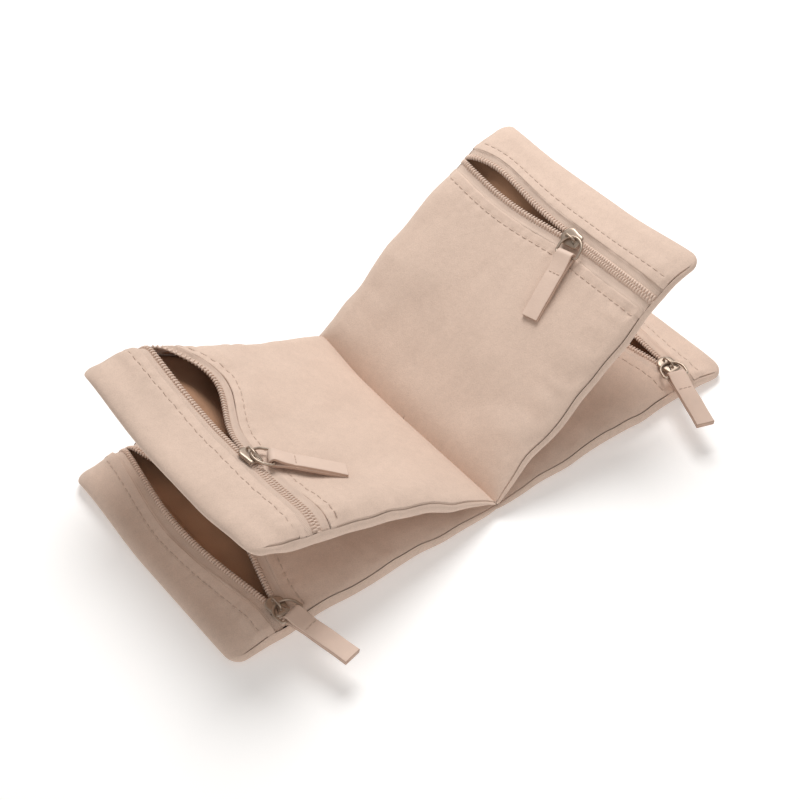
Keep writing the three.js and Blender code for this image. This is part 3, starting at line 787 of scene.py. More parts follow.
def settle():
    """Lets the slack of the panels settle as cloth: seams, hems and zip held, a little air inside, no weight.
    What is kept is how far each point moves through the leaf, at most about a millimetre."""
    big = 10 * MM       # worked at ten times the size
    jobs = []
    for k, leaf in LEAF.items():
        rows, _ = front_rows(k)
        p, n, flip = make_front(k)[:3]
        v = np.repeat(COLS["front"][None, :, 1, 0], len(rows), 0)
        end = leaf["zip"] - LIP
        free = smooth((rows[:, 0] - 8) / 14) * (1 - smooth((rows[:, 0] - end + 18) / 10)) * (rows[:, 1] >= 0)
        jobs.append((k, "front", p, flip, free[:, None] * (1 - smooth((np.abs(v) - 36) / 9))))
        if leaf["top"]:
            rows, _ = shell_rows(k)
            p, n, flip = make_shell(k)[:3]
            v = np.repeat(COLS["back"][None, :, 1, 0], len(rows), 0)
            free = smooth((rows[:, 1] - 8) / 14) * (1 - smooth((rows[:, 1] - 84) / 12)) * (rows[:, 0] == 0)
            jobs.append((k, "body", p, flip, free[:, None] * (1 - smooth((np.abs(v) - 32) / 9))))
    made = []
    for k, part, p, flip, free in jobs:
        used = np.nonzero(free.max(1) > 0)[0]
        r = list(range(max(used[0] - 2, 0), used[-1] + 3, 2))
        c = list(range(2, p.shape[1] - 2, 2))
        g = p[np.ix_(r, c)]
        me = bpy.data.meshes.new("settle")
        me.from_pydata((g.reshape(-1, 3) * big).tolist(), [], grid_faces(len(r), len(c), flip).tolist())
        ob = bpy.data.objects.new("settle", me)
        bpy.context.scene.collection.objects.link(ob)
        held = ob.vertex_groups.new(name="held")
        for i, x in enumerate((1 - free[np.ix_(r, c)]).ravel()):
            if x > 0.01:
                held.add([i], float(x), "REPLACE")
        cloth = ob.modifiers.new("cloth", "CLOTH")
        st = cloth.settings
        st.quality = 6
        st.mass = 0.3
        st.tension_stiffness = st.compression_stiffness = 15
        st.shear_stiffness = 5
        st.bending_stiffness = 0.2
        st.air_damping = 2
        st.vertex_group_mass = "held"
        st.use_pressure = True
        st.uniform_pressure_force = 0.6
        st.shrink_min = -0.010
        st.effector_weights.gravity = 0
        cloth.collision_settings.use_collision = False
        cloth.point_cache.frame_start, cloth.point_cache.frame_end = 1, 20
        made.append((ob, r, c, g))
    for f in range(1, 21):
        bpy.context.scene.frame_set(f)
    dg = bpy.context.evaluated_depsgraph_get()
    for (k, part, p, flip, free), (ob, r, c, g) in zip(jobs, made):
        e = ob.evaluated_get(dg)
        me = e.to_mesh()
        q = np.zeros(len(me.vertices) * 3, np.float32)
        me.vertices.foreach_get("co", q)
        e.to_mesh_clear()
        d = ((q.reshape(g.shape) / big - g) * up_of(k, 1)).sum(-1)
        d = np.stack([np.interp(np.arange(p.shape[1]), c, row) for row in d])
        d = np.stack([np.interp(np.arange(p.shape[0]), r, col) for col in d.T], 1)
        sign = 1 if part == "front" else -1
        d = sign * blur(d, 2) * np.minimum(1, free * 3)
        d = d * (0.7 if k == "tl" else 1.0) / max(1.0, float(np.percentile(d, 99.5)))
        SETTLED[k, part] = sign * np.clip(d, -0.5, 1.2)
    bpy.context.scene.frame_set(1)
    for ob, *_ in made:
        me = ob.data
        bpy.data.objects.remove(ob)
        bpy.data.meshes.remove(me)


def build_cloth(k):
    p, n, flip, weight, uv, r = make_front(k)
    front = sheet_from(f"{k}_front", p[r:], n[r:], flip, uv[r:], SUEDE, 0.35)
    lip_blend(front)
    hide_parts(f"{k}_front_panel")
    flat_size(front.name, p[r:])
    q, qn, qflip, qweight, quv, qr = make_shell(k)
    shell = sheet_from(f"{k}_body", q[qr:], qn[qr:], qflip, quv[qr:], SUEDE, 0.35)
    lip_blend(shell)
    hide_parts(f"{k}_shell")
    flat_size(shell.name, q[qr:])
    if r:
        va, fa, na = thick_grid(p[: r + 1], n[: r + 1], flip, 0.35)
        vb, fb, nb = thick_grid(q[: qr + 1], qn[: qr + 1], qflip, 0.35)
        uvs = np.concatenate([twice(uv[: r + 1].reshape(-1, 2)), twice(quv[: qr + 1].reshape(-1, 2))])
        faces = fa + [[i + len(va) for i in f] for f in fb]
        root = new_object(f"{k}_root", np.concatenate([va, vb]), faces, SUEDE, uvs, np.concatenate([na, nb]))
        if k == "tl":
            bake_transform(root)
        elif k == "tr":
            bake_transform(root)
        else:
            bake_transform(root)
    return front, shell


# ------------------------------------------------------------------ zip
def zip_height(k, u, v):
    """Front face height beside the zip, running down into the side seams at its ends."""
    top, bot = faces_of(k, u)
    seam = bot + seam_share(v) * (top - bot)
    return seam + (top - seam) * crown(v) - 0.35 * smooth((np.abs(v) - front_edge(v) + 0.6) / 0.9)


def build_tapes(k):
    leaf = LEAF[k]
    vs = np.concatenate([np.linspace(-51.0, -44.0, 13)[:-1], np.arange(-44.0, 43.5, 1.1), np.linspace(43.6, 51.9, 22)])
    closed = 1 - smooth((vs - (leaf["slider"] - 3.0)) / 6.0)
    for sign, name, amount in ((-1, "inner", leaf["inner"]), (1, "outer", leaf["outer"])):
        offs = np.array([12.4, 8.5, 6.3, 5.7, 5.4, 5.15, 4.9, 4.6, 4.2, 3.7, 3.0, 2.4, 1.8, 1.2, 0.75])
        edge = 0.75 + 0.95 * closed - 0.73 * smooth((vs - 48.4) / 1.2)
        off = 12.4 + (offs[:, None] - 12.4) * (12.4 - edge)[None, :] / (12.4 - 0.75)
        weight = np.repeat(bow_shape(k, vs, sign)[None, :], len(offs), 0)
        u = leaf["zip"] + sign * (off + amount * weight)
        v2 = vs[None, :] - 1.8 * smooth((vs[None, :] - 46.5) / 5.4) * smooth((off - 4.7) / 0.7)
        w = zip_height(k, u, v2) - 0.80 + 0.42 * np.exp(-((off - 4.95) / 0.6) ** 2) - 0.40 * smooth((off - 5.6) / 0.8)
        w = w + 0.06 * wobble(leaf["seed"] + 9, vs, 5, 14)[None, :] * np.exp(-((off - 3.6) / 1.5) ** 2)
        if sign < 0:
            w = w + 0.5 * weight * leaf["inner"] / 13.0
            w = w + 0.55 * weight * (1 - weight) * 4 * min(1.0, leaf["inner"] / 13.0) * smooth((off - 2.6) / 2.2)
        p = place(k, u, v2, w)
        n, flip = grid_normals(p, up_of(k, 1))
        uv = np.stack([off, np.repeat(vs[None, :], len(offs), 0)], -1)
        ob = sheet_from(f"{k}_zip_tape_{name}", p, n, flip, uv, TAPE, 0.35)
        lip_blend(ob)
        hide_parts(f"{k}_tape_{name}")
        flat_size(ob.name, p)


TOOTH = np.array([(1.90, -0.95), (1.86, -0.62), (1.62, -0.40), (1.18, -0.30), (0.72, -0.31), (0.40, -0.44), (0.24, -0.68), (0.34, -0.95)])


def tooth(k, sign, amount, v, lap, weight_here, bump=0.0):
    """One coil tooth across the tape edge at v: a bent round bar."""
    leaf = LEAF[k]
    h = 0.4
    slope = sign * amount * float(bow_shape(k, v + h, sign) - bow_shape(k, v - h, sign)) / (2 * h)
    norm = math.hypot(1, slope)
    out = np.array([sign / norm, -sign * slope / norm])      # away from the zip line, in (u, v)
    centre = np.array([leaf["zip"] + sign * amount * float(bow_shape(k, v, sign)), v])
    pts = []
    for off, dw in TOOTH:
        uu, vv = centre + out * (off - lap)
        base = float(zip_height(k, uu, vv))
        pts.append((uu, vv, base + dw + bump))
    pts = np.array(pts)
    world = place(k, pts[:, 0], pts[:, 1], pts[:, 2])
    along = place(k, centre[0] - sign * 0 + 0, centre[1] + 1.0, 5.0) - place(k, centre[0], centre[1], 5.0)
    verts, faces = tube(world, 0.36, 7, up=along, flat=1.0)
    return verts, faces


def pitch_at(k, v):
    """Step along v that keeps the teeth evenly spaced where the leaf falls to its sides."""
    u = LEAF[k]["zip"]
    fall = float(zip_height(k, u, v + 0.3) - zip_height(k, u, v - 0.3)) / 0.6
    return PITCH / math.hypot(1.0, fall)


def build_coils(k):
    leaf = LEAF[k]
    first = leaf["slider"] + 1.5
    for sign, name, amount in ((-1, "inner", leaf["inner"]), (1, "outer", leaf["outer"])):
        parts = Parts()
        v = first + (0.5 * PITCH if sign > 0 else 0.0)
        while v < 51.1:
            weight = float(bow_shape(k, v, sign))
            bump = 0.5 * weight * leaf["inner"] / 13.0 if sign < 0 else 0.0
            verts, faces = tooth(k, sign, amount, v, 0.0, weight, bump)
            parts.add(verts, faces, weight * reach(k, sign))
            v += pitch_at(k, v)
        # cord that the teeth are wound on
        vs = np.arange(first - 0.6, 51.2, 0.7)
        wt = bow_shape(k, vs, sign)
        u = leaf["zip"] + sign * (1.1 + amount * wt)
        w = zip_height(k, u, vs) - 0.72 + (0.5 * wt * leaf["inner"] / 13.0 if sign < 0 else 0.0)
        verts, faces = tube(place(k, u, vs, w), 0.56, 8, up=up_of(k, 1), flat=0.62)
        parts.add(verts, faces, np.concatenate([np.repeat(wt, 8), wt[:1], wt[-1:]]) * reach(k, sign))
        ob, weights = parts.build(f"{k}_zip_coil_{name}", COIL)
        lip_blend(ob)
        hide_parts(f"{k}_coil_{name}")

    # the closed length, from the near end up to the slider
    parts = Parts()
    v_end = leaf["slider"] + (-0.5 if leaf["top"] else 1.3)
    start = -50.7
    for sign in (-1, 1):
        v = start + (0.5 * PITCH if sign > 0 else 0.0)
        while v < v_end:
            verts, faces = tooth(k, sign, 0.0, v, 0.34, 0.0, -0.04)
            parts.add(verts, faces, (v - start) / (leaf["slider"] - start))
            v += pitch_at(k, v)
    vs = np.linspace(start, v_end, max(6, int((v_end - start) / 1.2)))
    offs = np.linspace(-1.9, 1.9, 7)
    w = zip_height(k, leaf["zip"] + 0 * vs, vs)[:, None] - 0.50 - 0.28 * smooth((np.abs(offs[None, :]) - 1.3) / 0.6)
    p = place(k, leaf["zip"] + offs[None, :], vs[:, None], w)
    n, flip = grid_normals(p, up_of(k, 1))
    low = p - 0.25 * up_of(k, 1)
    m, c = p.shape[:2]
    wt = np.repeat(((vs - start) / (leaf["slider"] - start))[:, None], c, 1).ravel()
    top_f = grid_faces(m, c, flip)
    low_f = grid_faces(m, c, not flip, m * c)
    rim = [i * c for i in range(m)] + [(m - 1) * c + j for j in range(1, c)] + [i * c + c - 1 for i in range(m - 2, -1, -1)] + [j for j in range(c - 2, 0, -1)]
    rim_f = []
    for a, b in zip(rim, rim[1:] + rim[:1]):
        rim_f.append([a, b, b + m * c, a + m * c] if flip else [b, a, a + m * c, b + m * c])
    parts.add(np.concatenate([p.reshape(-1, 3), low.reshape(-1, 3)]), [*top_f.tolist(), *low_f.tolist(), *rim_f], np.concatenate([wt, wt]))
    ob, weights = parts.build(f"{k}_zip_closed", COIL)
    if leaf["top"]:
        lip_blend(ob)
    else:
        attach(ob, leaf["body"])


def build_stitches(k):
    leaf = LEAF[k]
    for which, name in (("inner", "inner"), ("outer", "outer")):
        parts = Parts()
        sign = -1 if which == "inner" else 1
        amount = leaf[which]
        row = leaf["zip"] + sign * (LIP + (STITCH_IN if sign < 0 else STITCH_OUT))
        start = leaf["zip"] + LIP
        fall = float(front_fall(k, np.array(row))) if sign < 0 else float(1 - smooth((row - start) / (LENGTH - 2.0 - start)))
        v = -48.6
        while v < 47.4:
            vs = v + np.array([0.0, 0.35, 1.05, 1.75, 2.1])
            wt = fall * bow_shape(k, vs, sign)
            u = row + sign * amount * wt
            base = zip_height(k, u, vs) + relief(k, "front", u, vs, np.full_like(vs, row))
            if sign < 0:
                base = base + 0.9 * wt * (1 - wt) * 4 * min(1.0, leaf["inner"] / 13.0) + 0.5 * wt * leaf["inner"] / 13.0
            w = base + np.array([-0.2, 0.03, 0.08, 0.03, -0.2])
            verts, faces = tube(place(k, u, vs, w), 0.21, 6, up=up_of(k, 1))
            parts.add(verts, faces, np.concatenate([np.repeat(wt, 6), wt[:1], wt[-1:]]) * reach(k, sign))
            v += STITCH
        ob, weights = parts.build(f"{k}_stitch_{name}", THREAD)
        lip_blend(ob)


# ------------------------------------------------------------------ lining bag
def build_lining(k):
    leaf = LEAF[k]
    us = np.concatenate([np.arange(14.0, 86.0, 1.6), np.arange(86.0, 96.9, 0.4 if k == "bl" else 1.6), np.linspace(97.0, 106.4, 12)])
    x = 1 - (1 - np.linspace(0, 1, 10)) ** 2
    vs = np.concatenate([-(42.5 + 7.3 * x)[::-1], np.linspace(-42.5, 42.5, 55)[1:-1], 42.5 + 8.0 * x])
    u, v = np.meshgrid(us, vs, indexing="ij")
    top, bot = faces_of(k, u)
    base = bot + 1.25 + side_rise(k, v, (top - bot) / THICK)
    if leaf["top"]:
        base = base + (0.5 if k == "tl" else 2.8) * smooth((u - 52) / 18) * (1 - smooth((u - 94) / 8)) * (1 - smooth((np.abs(v) - 30) / 14))
    roof = np.maximum(base + 0.4, zip_height(k, u, v) - 1.8 - 0.5 * smooth((u - 97) / 8))
    t1 = np.clip((np.abs(v) - 42.5) / 7.3, 0, 1)
    t2 = np.clip((u - 97.0) / 9.4, 0, 1)
    t3 = np.clip((24.0 - u) / 10.0, 0, 1)
    rise = 1 - np.sqrt(np.clip(1 - t1 ** 2, 0, 1)) * np.sqrt(np.clip(1 - t2 ** 2, 0, 1)) * np.sqrt(np.clip(1 - t3 ** 2, 0, 1))
    soft = (1 - rise) * (0.28 * ripple(waves(leaf["seed"] + 21, 8, 12, 40), u, v) + 0.28)
    for line in ((90.0,) if k == "bl" else ()):
        soft = soft + (1 - rise) * (0.85 * np.exp(-((u - line) / 0.8) ** 2) + 0.7 * np.exp(-((u - line - 2.6) / 0.9) ** 2) - 0.3 * np.exp(-((u - line - 1.3) / 0.5) ** 2))
    w = np.minimum(base + (roof - base) * rise + soft, zip_height(k, u, v) - 1.7)
    shrink = 7.0 - np.sqrt(np.clip(49.0 - np.clip(u - 99.6, 0, 6.99) ** 2, 0, None))
    v = np.sign(v) * (np.abs(v) - shrink * smooth((np.abs(v) - 15.0) / 35.0))
    p = place(k, u, v, w)
    n, flip = grid_normals(p, up_of(k, 1))
    parts = Parts()
    uv = np.stack([u, v], -1)
    verts, faces, _ = thick_grid(p, n, flip, 0.3)
    parts.add(verts, faces, 0, twice(uv.reshape(-1, 2)))
    # inner face of the front, joined to the tray along the root and open at the mouth
    s = np.linspace(0, 1, 40)[:, None]
    v2 = np.linspace(-48.8, 48.8, 60)[None, :]
    end = leaf["zip"] - LIP - leaf["inner"] * bow_shape(k, v2) - 3.2
    u2 = 14.0 + (end - 14.0) * s
    w2 = zip_height(k, u2, v2) - 1.75 - 0.25 * np.sin(u2 / 7.0 + v2 / 11.0) ** 2
    low2 = faces_of(k, u2)[1] + 2.0
    w2 = np.maximum(w2, low2 * (1 - s) + (low2 + 0.5) * s)
    p2 = place(k, u2, v2 + 0 * u2, w2)
    n2, flip2 = grid_normals(p2, up_of(k, -1))
    uv2 = np.stack([u2, v2 + 0 * u2], -1)
    verts, faces, _ = thick_grid(p2, n2, flip2, 0.3)
    parts.add(verts, faces, 0, twice(uv2.reshape(-1, 2)))
    ob, _ = parts.build(f"{k}_lining_bag", LINING)
    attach(ob, leaf["body"])
    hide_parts(f"{k}_lining")
    flat_size(ob.name, p)[0]
    round(flat_size(ob.name, p)[1] + flat_size(ob.name + "_front", p2)[1], 4)


# ------------------------------------------------------------------ metal and leather
def frame_at(k):
    """Matrix from slider coordinates (across the zip, along it, up) to the row frame, in millimetres."""
    leaf = LEAF[k]
    o = place(k, leaf["zip"], leaf["slider"], 0.0, False)
    ex = (place(k, leaf["zip"] + 1, leaf["slider"], 0.0, False) - o) * leaf["side"]
    ez = place(k, leaf["zip"], leaf["slider"], 1.0, False) - o
    m = np.eye(4)
    m[:3, 0], m[:3, 1], m[:3, 2], m[:3, 3] = ex, (0, 1, 0), ez, o
    return m


def moved(m, verts):
    return np.asarray(verts) @ m[:3, :3].T + m[:3, 3]


def plate(outline, levels):
    """Closed body from an outline drawn in by given amounts at given heights."""
    outline = np.asarray(outline, float)
    n = len(outline)
    nxt, prv = np.roll(outline, -1, 0), np.roll(outline, 1, 0)
    t = nxt - prv
    t /= np.linalg.norm(t, axis=1, keepdims=True)
    inward = np.stack([-t[:, 1], t[:, 0]], 1)          # outline runs anticlockwise
    verts = []
    for d, z in levels:
        ring = outline + inward * d
        verts.append(np.concatenate([ring, np.full((n, 1), z)], 1))
    verts = np.concatenate(verts)
    faces = []
    for i in range(len(levels) - 1):
        for j in range(n):
            q = (j + 1) % n
            faces.append([i * n + j, i * n + q, (i + 1) * n + q, (i + 1) * n + j])
    low, high = len(verts), len(verts) + 1
    c = outline.mean(0)
    verts = np.concatenate([verts, [[*c, levels[0][1]], [*c, levels[-1][1]]]])
    last = (len(levels) - 1) * n
    for j in range(n):
        q = (j + 1) % n
        faces.append([low, q, j])
        faces.append([high, last + j, last + q])
    return verts, faces


def slider_outline(k_x, k_y):
    pts = []
    for a in np.linspace(0, math.pi, 25):
        pts.append((k_x * 3.4 * math.cos(a), k_y * (1.2 + 3.1 * math.sin(a))))
    left = [(-3.25, 0.2), (-2.95, -1.2), (-2.85, -2.4), (-2.8, -3.2), (-2.55, -3.9), (-2.0, -4.25), (-1.0, -4.3)]
    pts += [(k_x * x, k_y * y) for x, y in left]
    pts += [(-k_x * x, k_y * y) for x, y in reversed(left)]
    return np.array(pts)


def build_slider(k):
    parts = Parts()
    top = slider_outline(1, 1)
    parts.add(*plate(top, [(0.55, 10.12), (0.16, 10.14), (0.0, 10.32), (0.0, 10.58), (0.22, 10.84), (0.75, 10.93), (1.5, 10.95)]))
    base = slider_outline(0.94, 0.74)
    parts.add(*plate(base, [(0.5, 7.22), (0.12, 7.28), (0.0, 7.45), (0.0, 7.65), (0.2, 7.82), (0.7, 7.85)]))
    # side flanges that guide the teeth
    for s in (-1, 1):
        line = [(s * 3.12, 1.3), (s * 2.96, 0.0), (s * 2.72, -1.4), (s * 2.62, -2.8), (s * 2.45, -3.6)]
        path = np.array([(x, y, 9.95) for x, y in line])
        parts.add(*tube(path, 0.26, 8, flat=1.5, taper=[0.7, 1, 1, 1, 0.7]))
        path = np.array([(x * 0.93, y * 0.8, 8.0) for x, y in line])
        parts.add(*tube(path, 0.24, 8, flat=1.3, taper=[0.7, 1, 1, 1, 0.7]))
    # post between the plates
    post = [(0.25 * math.cos(a), 1.5 + 1.1 * math.sin(a)) for a in np.linspace(0, 2 * math.pi, 16, endpoint=False)]
    parts.add(*plate(post, [(0.0, 7.7), (0.0, 8.4), (0.0, 9.6), (0.0, 10.3)]))
    # bridge for the ring, an arched strap along the slider
    arch = [(-2.35, 10.7), (-2.33, 11.4), (-2.2, 11.95), (-1.75, 12.42), (-1.0, 12.62), (0.0, 12.66), (1.0, 12.62), (1.75, 12.42), (2.2, 11.95), (2.33, 11.4), (2.35, 10.7)]
    path = np.array([(0.0, y, z) for y, z in arch])
    parts.add(*tube(path, 0.42, 10, up=(1, 0, 0), flat=1.0))
    for s in (-1, 1):      # feet of the bridge
        foot = [(0.62 * math.cos(a), s * 2.35 + 0.6 * math.sin(a)) for a in np.linspace(0, 2 * math.pi, 16, endpoint=False)]
        parts.add(*plate(foot, [(0.0, 10.8), (0.05, 11.0), (0.22, 11.12), (0.4, 11.16)]))
    m = frame_at(k)
    parts.verts = [moved(m, v) for v in parts.verts]
    ob, _ = parts.build(f"{k}_zip_slider", METAL)
    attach(ob, f"{k}_slider")
    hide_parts(f"{k}_slider")


def pull_matrix(k):
    """Ring coordinates: centre of its round end at the origin, bar towards +Y, in the ring's plane."""
    leaf = LEAF[k]
    head = lambda d: np.array([-leaf["side"] * math.cos(math.radians(d)), -math.sin(math.radians(d))])
    ring, tab = head(leaf["ring"]), head(leaf["tab"])
    a = math.atan2(tab[1], tab[0]) - math.pi / 2
    m = np.eye(4)
    m[:2, :2] = [[math.cos(a), -math.sin(a)], [math.sin(a), math.cos(a)]]
    m[:3, 3] = (4.6 * ring[0], 4.6 * ring[1], 11.6)
    return frame_at(k) @ m


def build_ring(k):
    r, y1, c = 4.6, 2.8, 1.1
    pts = [(r * math.cos(a), r * math.sin(a)) for a in np.linspace(math.pi, 2 * math.pi, 41)]
    pts += [(r - c + c * math.cos(a), y1 - c + c * math.sin(a)) for a in np.linspace(0, math.pi / 2, 9)]
    pts += [(-r + c + c * math.cos(a), y1 - c + c * math.sin(a)) for a in np.linspace(math.pi / 2, math.pi, 9)]
    pts = np.array(pts)
    keep = [0]
    for i in range(1, len(pts)):
        if np.linalg.norm(pts[i] - pts[keep[-1]]) > 0.08:
            keep.append(i)
    pts = pts[keep]
    path = np.concatenate([pts, np.zeros((len(pts), 1))], 1)
    verts, faces = tube(path, 0.5, 12, closed=True)
    parts = Parts()
    parts.add(moved(pull_matrix(k), verts), faces)
    ob, _ = parts.build(f"{k}_ring_wire", METAL)
    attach(ob, f"{k}_ring")
    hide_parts(f"{k}_pull_ring")


def build_tab(k):
    """A strip folded over the ring's bar, its two halves sewn together below the loop."""
    half, t, end = 3.3, 1.0, 25.4
    ro = 0.78 + t / 2
    path = []
    gap = lambda y: 0.53 + (ro - 0.53) * max(0.0, 1 - max(0.0, y) / 6.2) ** 1.6
    ys = [end, end - 0.25, end - 1.0] + list(np.linspace(end - 2.2, 8.0, 12)) + list(np.linspace(7.2, 0.6, 9))
    for y in ys:
        path.append((y, gap(y)))
    for a in np.linspace(math.pi / 2, 3 * math.pi / 2, 15):
        path.append((ro * math.cos(a), ro * math.sin(a)))
    for y in reversed(ys):
        path.append((y - 0.18 if y > end - 0.1 else y, -gap(y)))
    path = np.array(path)
    tang = np.gradient(path, axis=0)
    tang /= np.linalg.norm(tang, axis=1, keepdims=True)
    nor = np.stack([-tang[:, 1], tang[:, 0]], 1)
    # the strip's rounded section: across (x), through (n), and how near its cut edge a point is
    b = 0.26
    sec = []
    for sx, sn, a0 in ((1, 1, 0), (-1, 1, 90), (-1, -1, 180), (1, -1, 270)):
        for d in (0, 30, 60, 90):
            a = math.radians(a0 + d)
            sec.append((sx * (half - b) + b * math.cos(a), sn * (t / 2 - b) + b * math.sin(a)))
    sec = np.array(sec)
    inner = [(half - 1.2, t / 2), (0.9, t / 2), (-0.9, t / 2), (-half + 1.2, t / 2)]
    inner2 = [(-half + 1.2, -t / 2), (-0.9, -t / 2), (0.9, -t / 2), (half - 1.2, -t / 2)]
    sec = np.concatenate([sec[0:4], np.array(inner), sec[4:12], np.array(inner2), sec[12:16]])
    edge = np.clip((np.abs(sec[:, 0]) - (half - 0.35)) / 0.35, 0, 1)
    n, m = len(path), len(sec)
    width = 1 + 0.012 * np.sin(path[:, 0] * 0.55)
    ring = np.zeros((n, m, 3))
    ring[:, :, 0] = sec[None, :, 0] * width[:, None]
    thick = sec[None, :, 1].repeat(n, 0)
    ring[:, :, 1] = path[:, 0][:, None] + nor[:, 0][:, None] * thick
    ring[:, :, 2] = path[:, 1][:, None] + nor[:, 1][:, None] * thick
    # pressed line where the two halves are sewn, and a slow bend
    press = np.exp(-((ring[:, :, 1] - 7.4) / 0.55) ** 2) * 0.16
    ring[:, :, 2] -= np.sign(ring[:, :, 2]) * press
    ring[:, :, 2] += 0.10 * np.sin((ring[:, :, 1] - 2) / 6.5) * smooth((ring[:, :, 1] - 6) / 10)
    verts = ring.reshape(-1, 3)
    faces = []
    for i in range(n - 1):
        for j in range(m):
            q = (j + 1) % m
            faces.append([i * m + j, i * m + q, (i + 1) * m + q, (i + 1) * m + j])
    c0 = len(verts)
    verts = np.concatenate([verts, ring[:1].mean(1), ring[-1:].mean(1)])
    for j in range(m):
        q = (j + 1) % m
        faces.append([c0, q, j])
        faces.append([c0 + 1, (n - 1) * m + j, (n - 1) * m + q])
    uvs = np.zeros((len(verts), 2))
    uvs[: n * m, 0] = np.tile(edge, n)
    uvs[: m, 0] = 1.0
    uvs[(n - 1) * m: n * m, 0] = 1.0
    uvs[n * m:, 0] = 1.0
    mat = pull_matrix(k)
    tilt = math.radians(-0.5 if k == "tl" else -2)
    rot = np.eye(4)
    rot[1:3, 1:3] = [[math.cos(tilt), -math.sin(tilt)], [math.sin(tilt), math.cos(tilt)]]
    rot[:3, 3] = (0, 2.8, 0)
    mat = mat @ rot
    # outward faces
    a, bb, cc = verts[faces[0][0]], verts[faces[0][1]], verts[faces[0][2]]
    nrm = np.cross(bb - a, cc - a)
    mid = ring[0].mean(0)
    if nrm @ (np.mean([a, bb, cc], 0) - ring[:2].mean((0, 1))) < 0:
        faces = [f[::-1] for f in faces]
    parts = Parts()
    parts.add(moved(mat, verts), faces, 0, uvs)
    ob, _ = parts.build(f"{k}_tab_leather", LEATHER)
    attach(ob, f"{k}_tab")
    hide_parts(f"{k}_pull_tab")
    st = Parts()
    for face in (1, -1):
        for x in (-1.75, -0.05, 1.65):
            xs = x + np.array([-0.62, -0.45, 0.0, 0.45, 0.62])
            zs = face * (0.53 + t / 2 - 0.13 + np.array([-0.2, 0.06, 0.12, 0.06, -0.2]))
            pth = np.stack([xs, np.full(5, 7.4), zs], 1)
            st.add(*tube(pth, 0.17, 6, up=(0, 0, face)))
    st.verts = [moved(mat, v) for v in st.verts]
    so, _ = st.build(f"{k}_tab_stitch", THREAD)
    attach(so, f"{k}_tab")


# ------------------------------------------------------------------ centre welt
def build_welt():
    ys = np.concatenate([np.linspace(-50.2, -49.0, 5)[:-1], np.linspace(-49.0, 49.0, 79), np.linspace(49.0, 50.2, 5)[1:]])
    sec = []
    for z in np.linspace(0.75, 4.1, 8):
        sec.append((0.42 - 0.1 * math.sin(z * 1.3), z))
    sec = sec + [(0.2, 4.32), (0.0, 4.38), (-0.2, 4.32)] + [(-x, z) for x, z in reversed(sec)] + [(-0.2, 0.62), (0.0, 0.58), (0.2, 0.62)]
    sec = np.array(sec)
    p = np.zeros((len(ys), len(sec), 3))
    p[:, :, 0] = sec[None, :, 0] + 0.08 * np.sin(ys * 1.9)[:, None] * (sec[None, :, 1] < 1.0)
    p[:, :, 1] = ys[:, None]
    p[:, :, 2] = sec[None, :, 1] + 2.2 * smooth((ys - 26) / 26)[:, None] * smooth((sec[None, :, 1] - 2.0) / 2.4)
    n, m = p.shape[:2]
    verts = p.reshape(-1, 3)
    faces = []
    for i in range(n - 1):
        for j in range(m):
            q = (j + 1) % m
            faces.append([i * m + j, (i + 1) * m + j, (i + 1) * m + q, i * m + q])
    c0 = len(verts)
    verts = np.concatenate([verts, p[:1].mean(1), p[-1:].mean(1)])
    for j in range(m):
        q = (j + 1) % m
        faces.append([c0, j, q])
        faces.append([c0 + 1, (n - 1) * m + q, (n - 1) * m + j])
    ob = new_object("centre_welt", verts, faces, SUEDE)
    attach(ob, "base")
    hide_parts("centre_seam")


settle()
for key in LEAF:
    build_cloth(key)
    build_tapes(key)
    build_coils(key)
    build_stitches(key)
    build_lining(key)
    build_slider(key)
    build_ring(key)
    build_tab(key)
build_welt()


# ------------------------------------------------------------------ floor, light and camera
def floor_material():
    m, nodes, links, b = material("floor")
    n = node(nodes, "ShaderNodeTexNoise", Scale=6.0, Detail=3.0)
    co = nodes.new("ShaderNodeTexCoord").outputs["Object"]
    links.new(co, n.inputs["Vector"])
    r = ramp(nodes, [(0.3, grey(0.90)), (0.7, grey(0.92))])
    links.new(n.outputs["Fac"], r.inputs[0])
    links.new(r.outputs[0], b.inputs["Base Color"])
    b.inputs["Roughness"].default_value = 0.9
    b.inputs["Specular IOR Level"].default_value = 0.1
    b.inputs["Emission Color"].default_value = (1, 1, 1, 1)
    b.inputs["Emission Strength"].default_value = 0.22
    return m


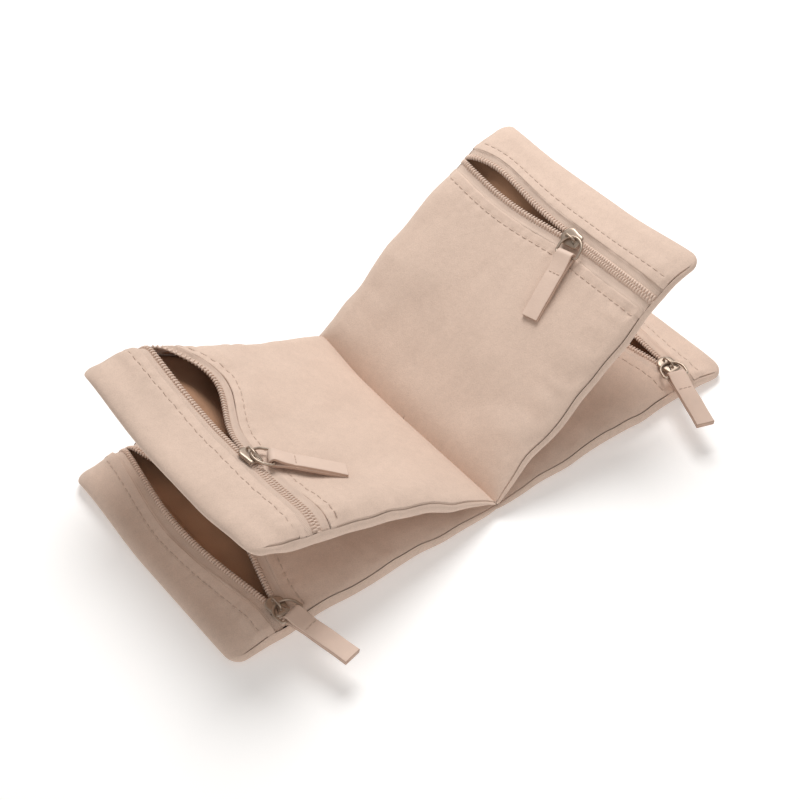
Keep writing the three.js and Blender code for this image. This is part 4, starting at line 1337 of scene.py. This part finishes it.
me = bpy.data.meshes.new("floor")
s = 3.0
me.from_pydata([(-s, -s, -0.0001), (s, -s, -0.0001), (s, s, -0.0001), (-s, s, -0.0001)], [], [(0, 1, 2, 3)])
me.materials.append(floor_material())
floor = bpy.data.objects.new("floor", me)
bpy.context.scene.collection.objects.link(floor)

scene = bpy.context.scene
world = bpy.data.worlds.new("studio")
scene.world = world
world.use_nodes = True
bg = world.node_tree.nodes["Background"]
bg.inputs[0].default_value = (1.0, 0.955, 0.905, 1)
bg.inputs[1].default_value = 0.36
scene.view_settings.view_transform = "Standard"
scene.view_settings.look = "None"


def area(name, at, to, size, power, colour=(1, 1, 1)):
    light = bpy.data.lights.new(name, "AREA")
    light.shape = "DISK"
    light.size = size
    light.energy = power
    light.color = colour
    ob = bpy.data.objects.new(name, light)
    ob.location = at
    ob.rotation_mode = "QUATERNION"
    ob.rotation_quaternion = (Vector(to) - Vector(at)).to_track_quat("-Z", "Y")
    bpy.context.scene.collection.objects.link(ob)
    return ob


area("key", (0.21, 0.25, 0.58), (0, 0.0, 0.02), 0.42, 3.75, (1.0, 0.99, 0.98))
area("fill", (-0.45, -0.80, 0.42), (0, 0, 0.02), 0.7, 1.85, (1.0, 0.98, 0.97))

cam_data = bpy.data.cameras.new("camera")
cam_data.sensor_width = 36.0
cam_data.lens = 82.26
cam_data.clip_start, cam_data.clip_end = 0.01, 20.0
cam = bpy.data.objects.new("camera", cam_data)
bpy.context.scene.collection.objects.link(cam)
az, el, dist, roll = math.radians(-37.008), math.radians(44.578), 0.64537, math.radians(-1.095)
target = Vector((-0.004462, -0.003023, 0.020))
back = Vector((math.sin(az) * math.cos(el), -math.cos(az) * math.cos(el), math.sin(el)))
fwd = -back
right = fwd.cross(Vector((0, 0, 1))).normalized()
up = right.cross(fwd)
r2 = right * math.cos(roll) + up * math.sin(roll)
u2 = -right * math.sin(roll) + up * math.cos(roll)
m = Matrix((r2, u2, back)).transposed().to_4x4()
m.translation = target + back * dist
cam.matrix_world = m
scene.camera = cam

bpy.context.view_layer.update()
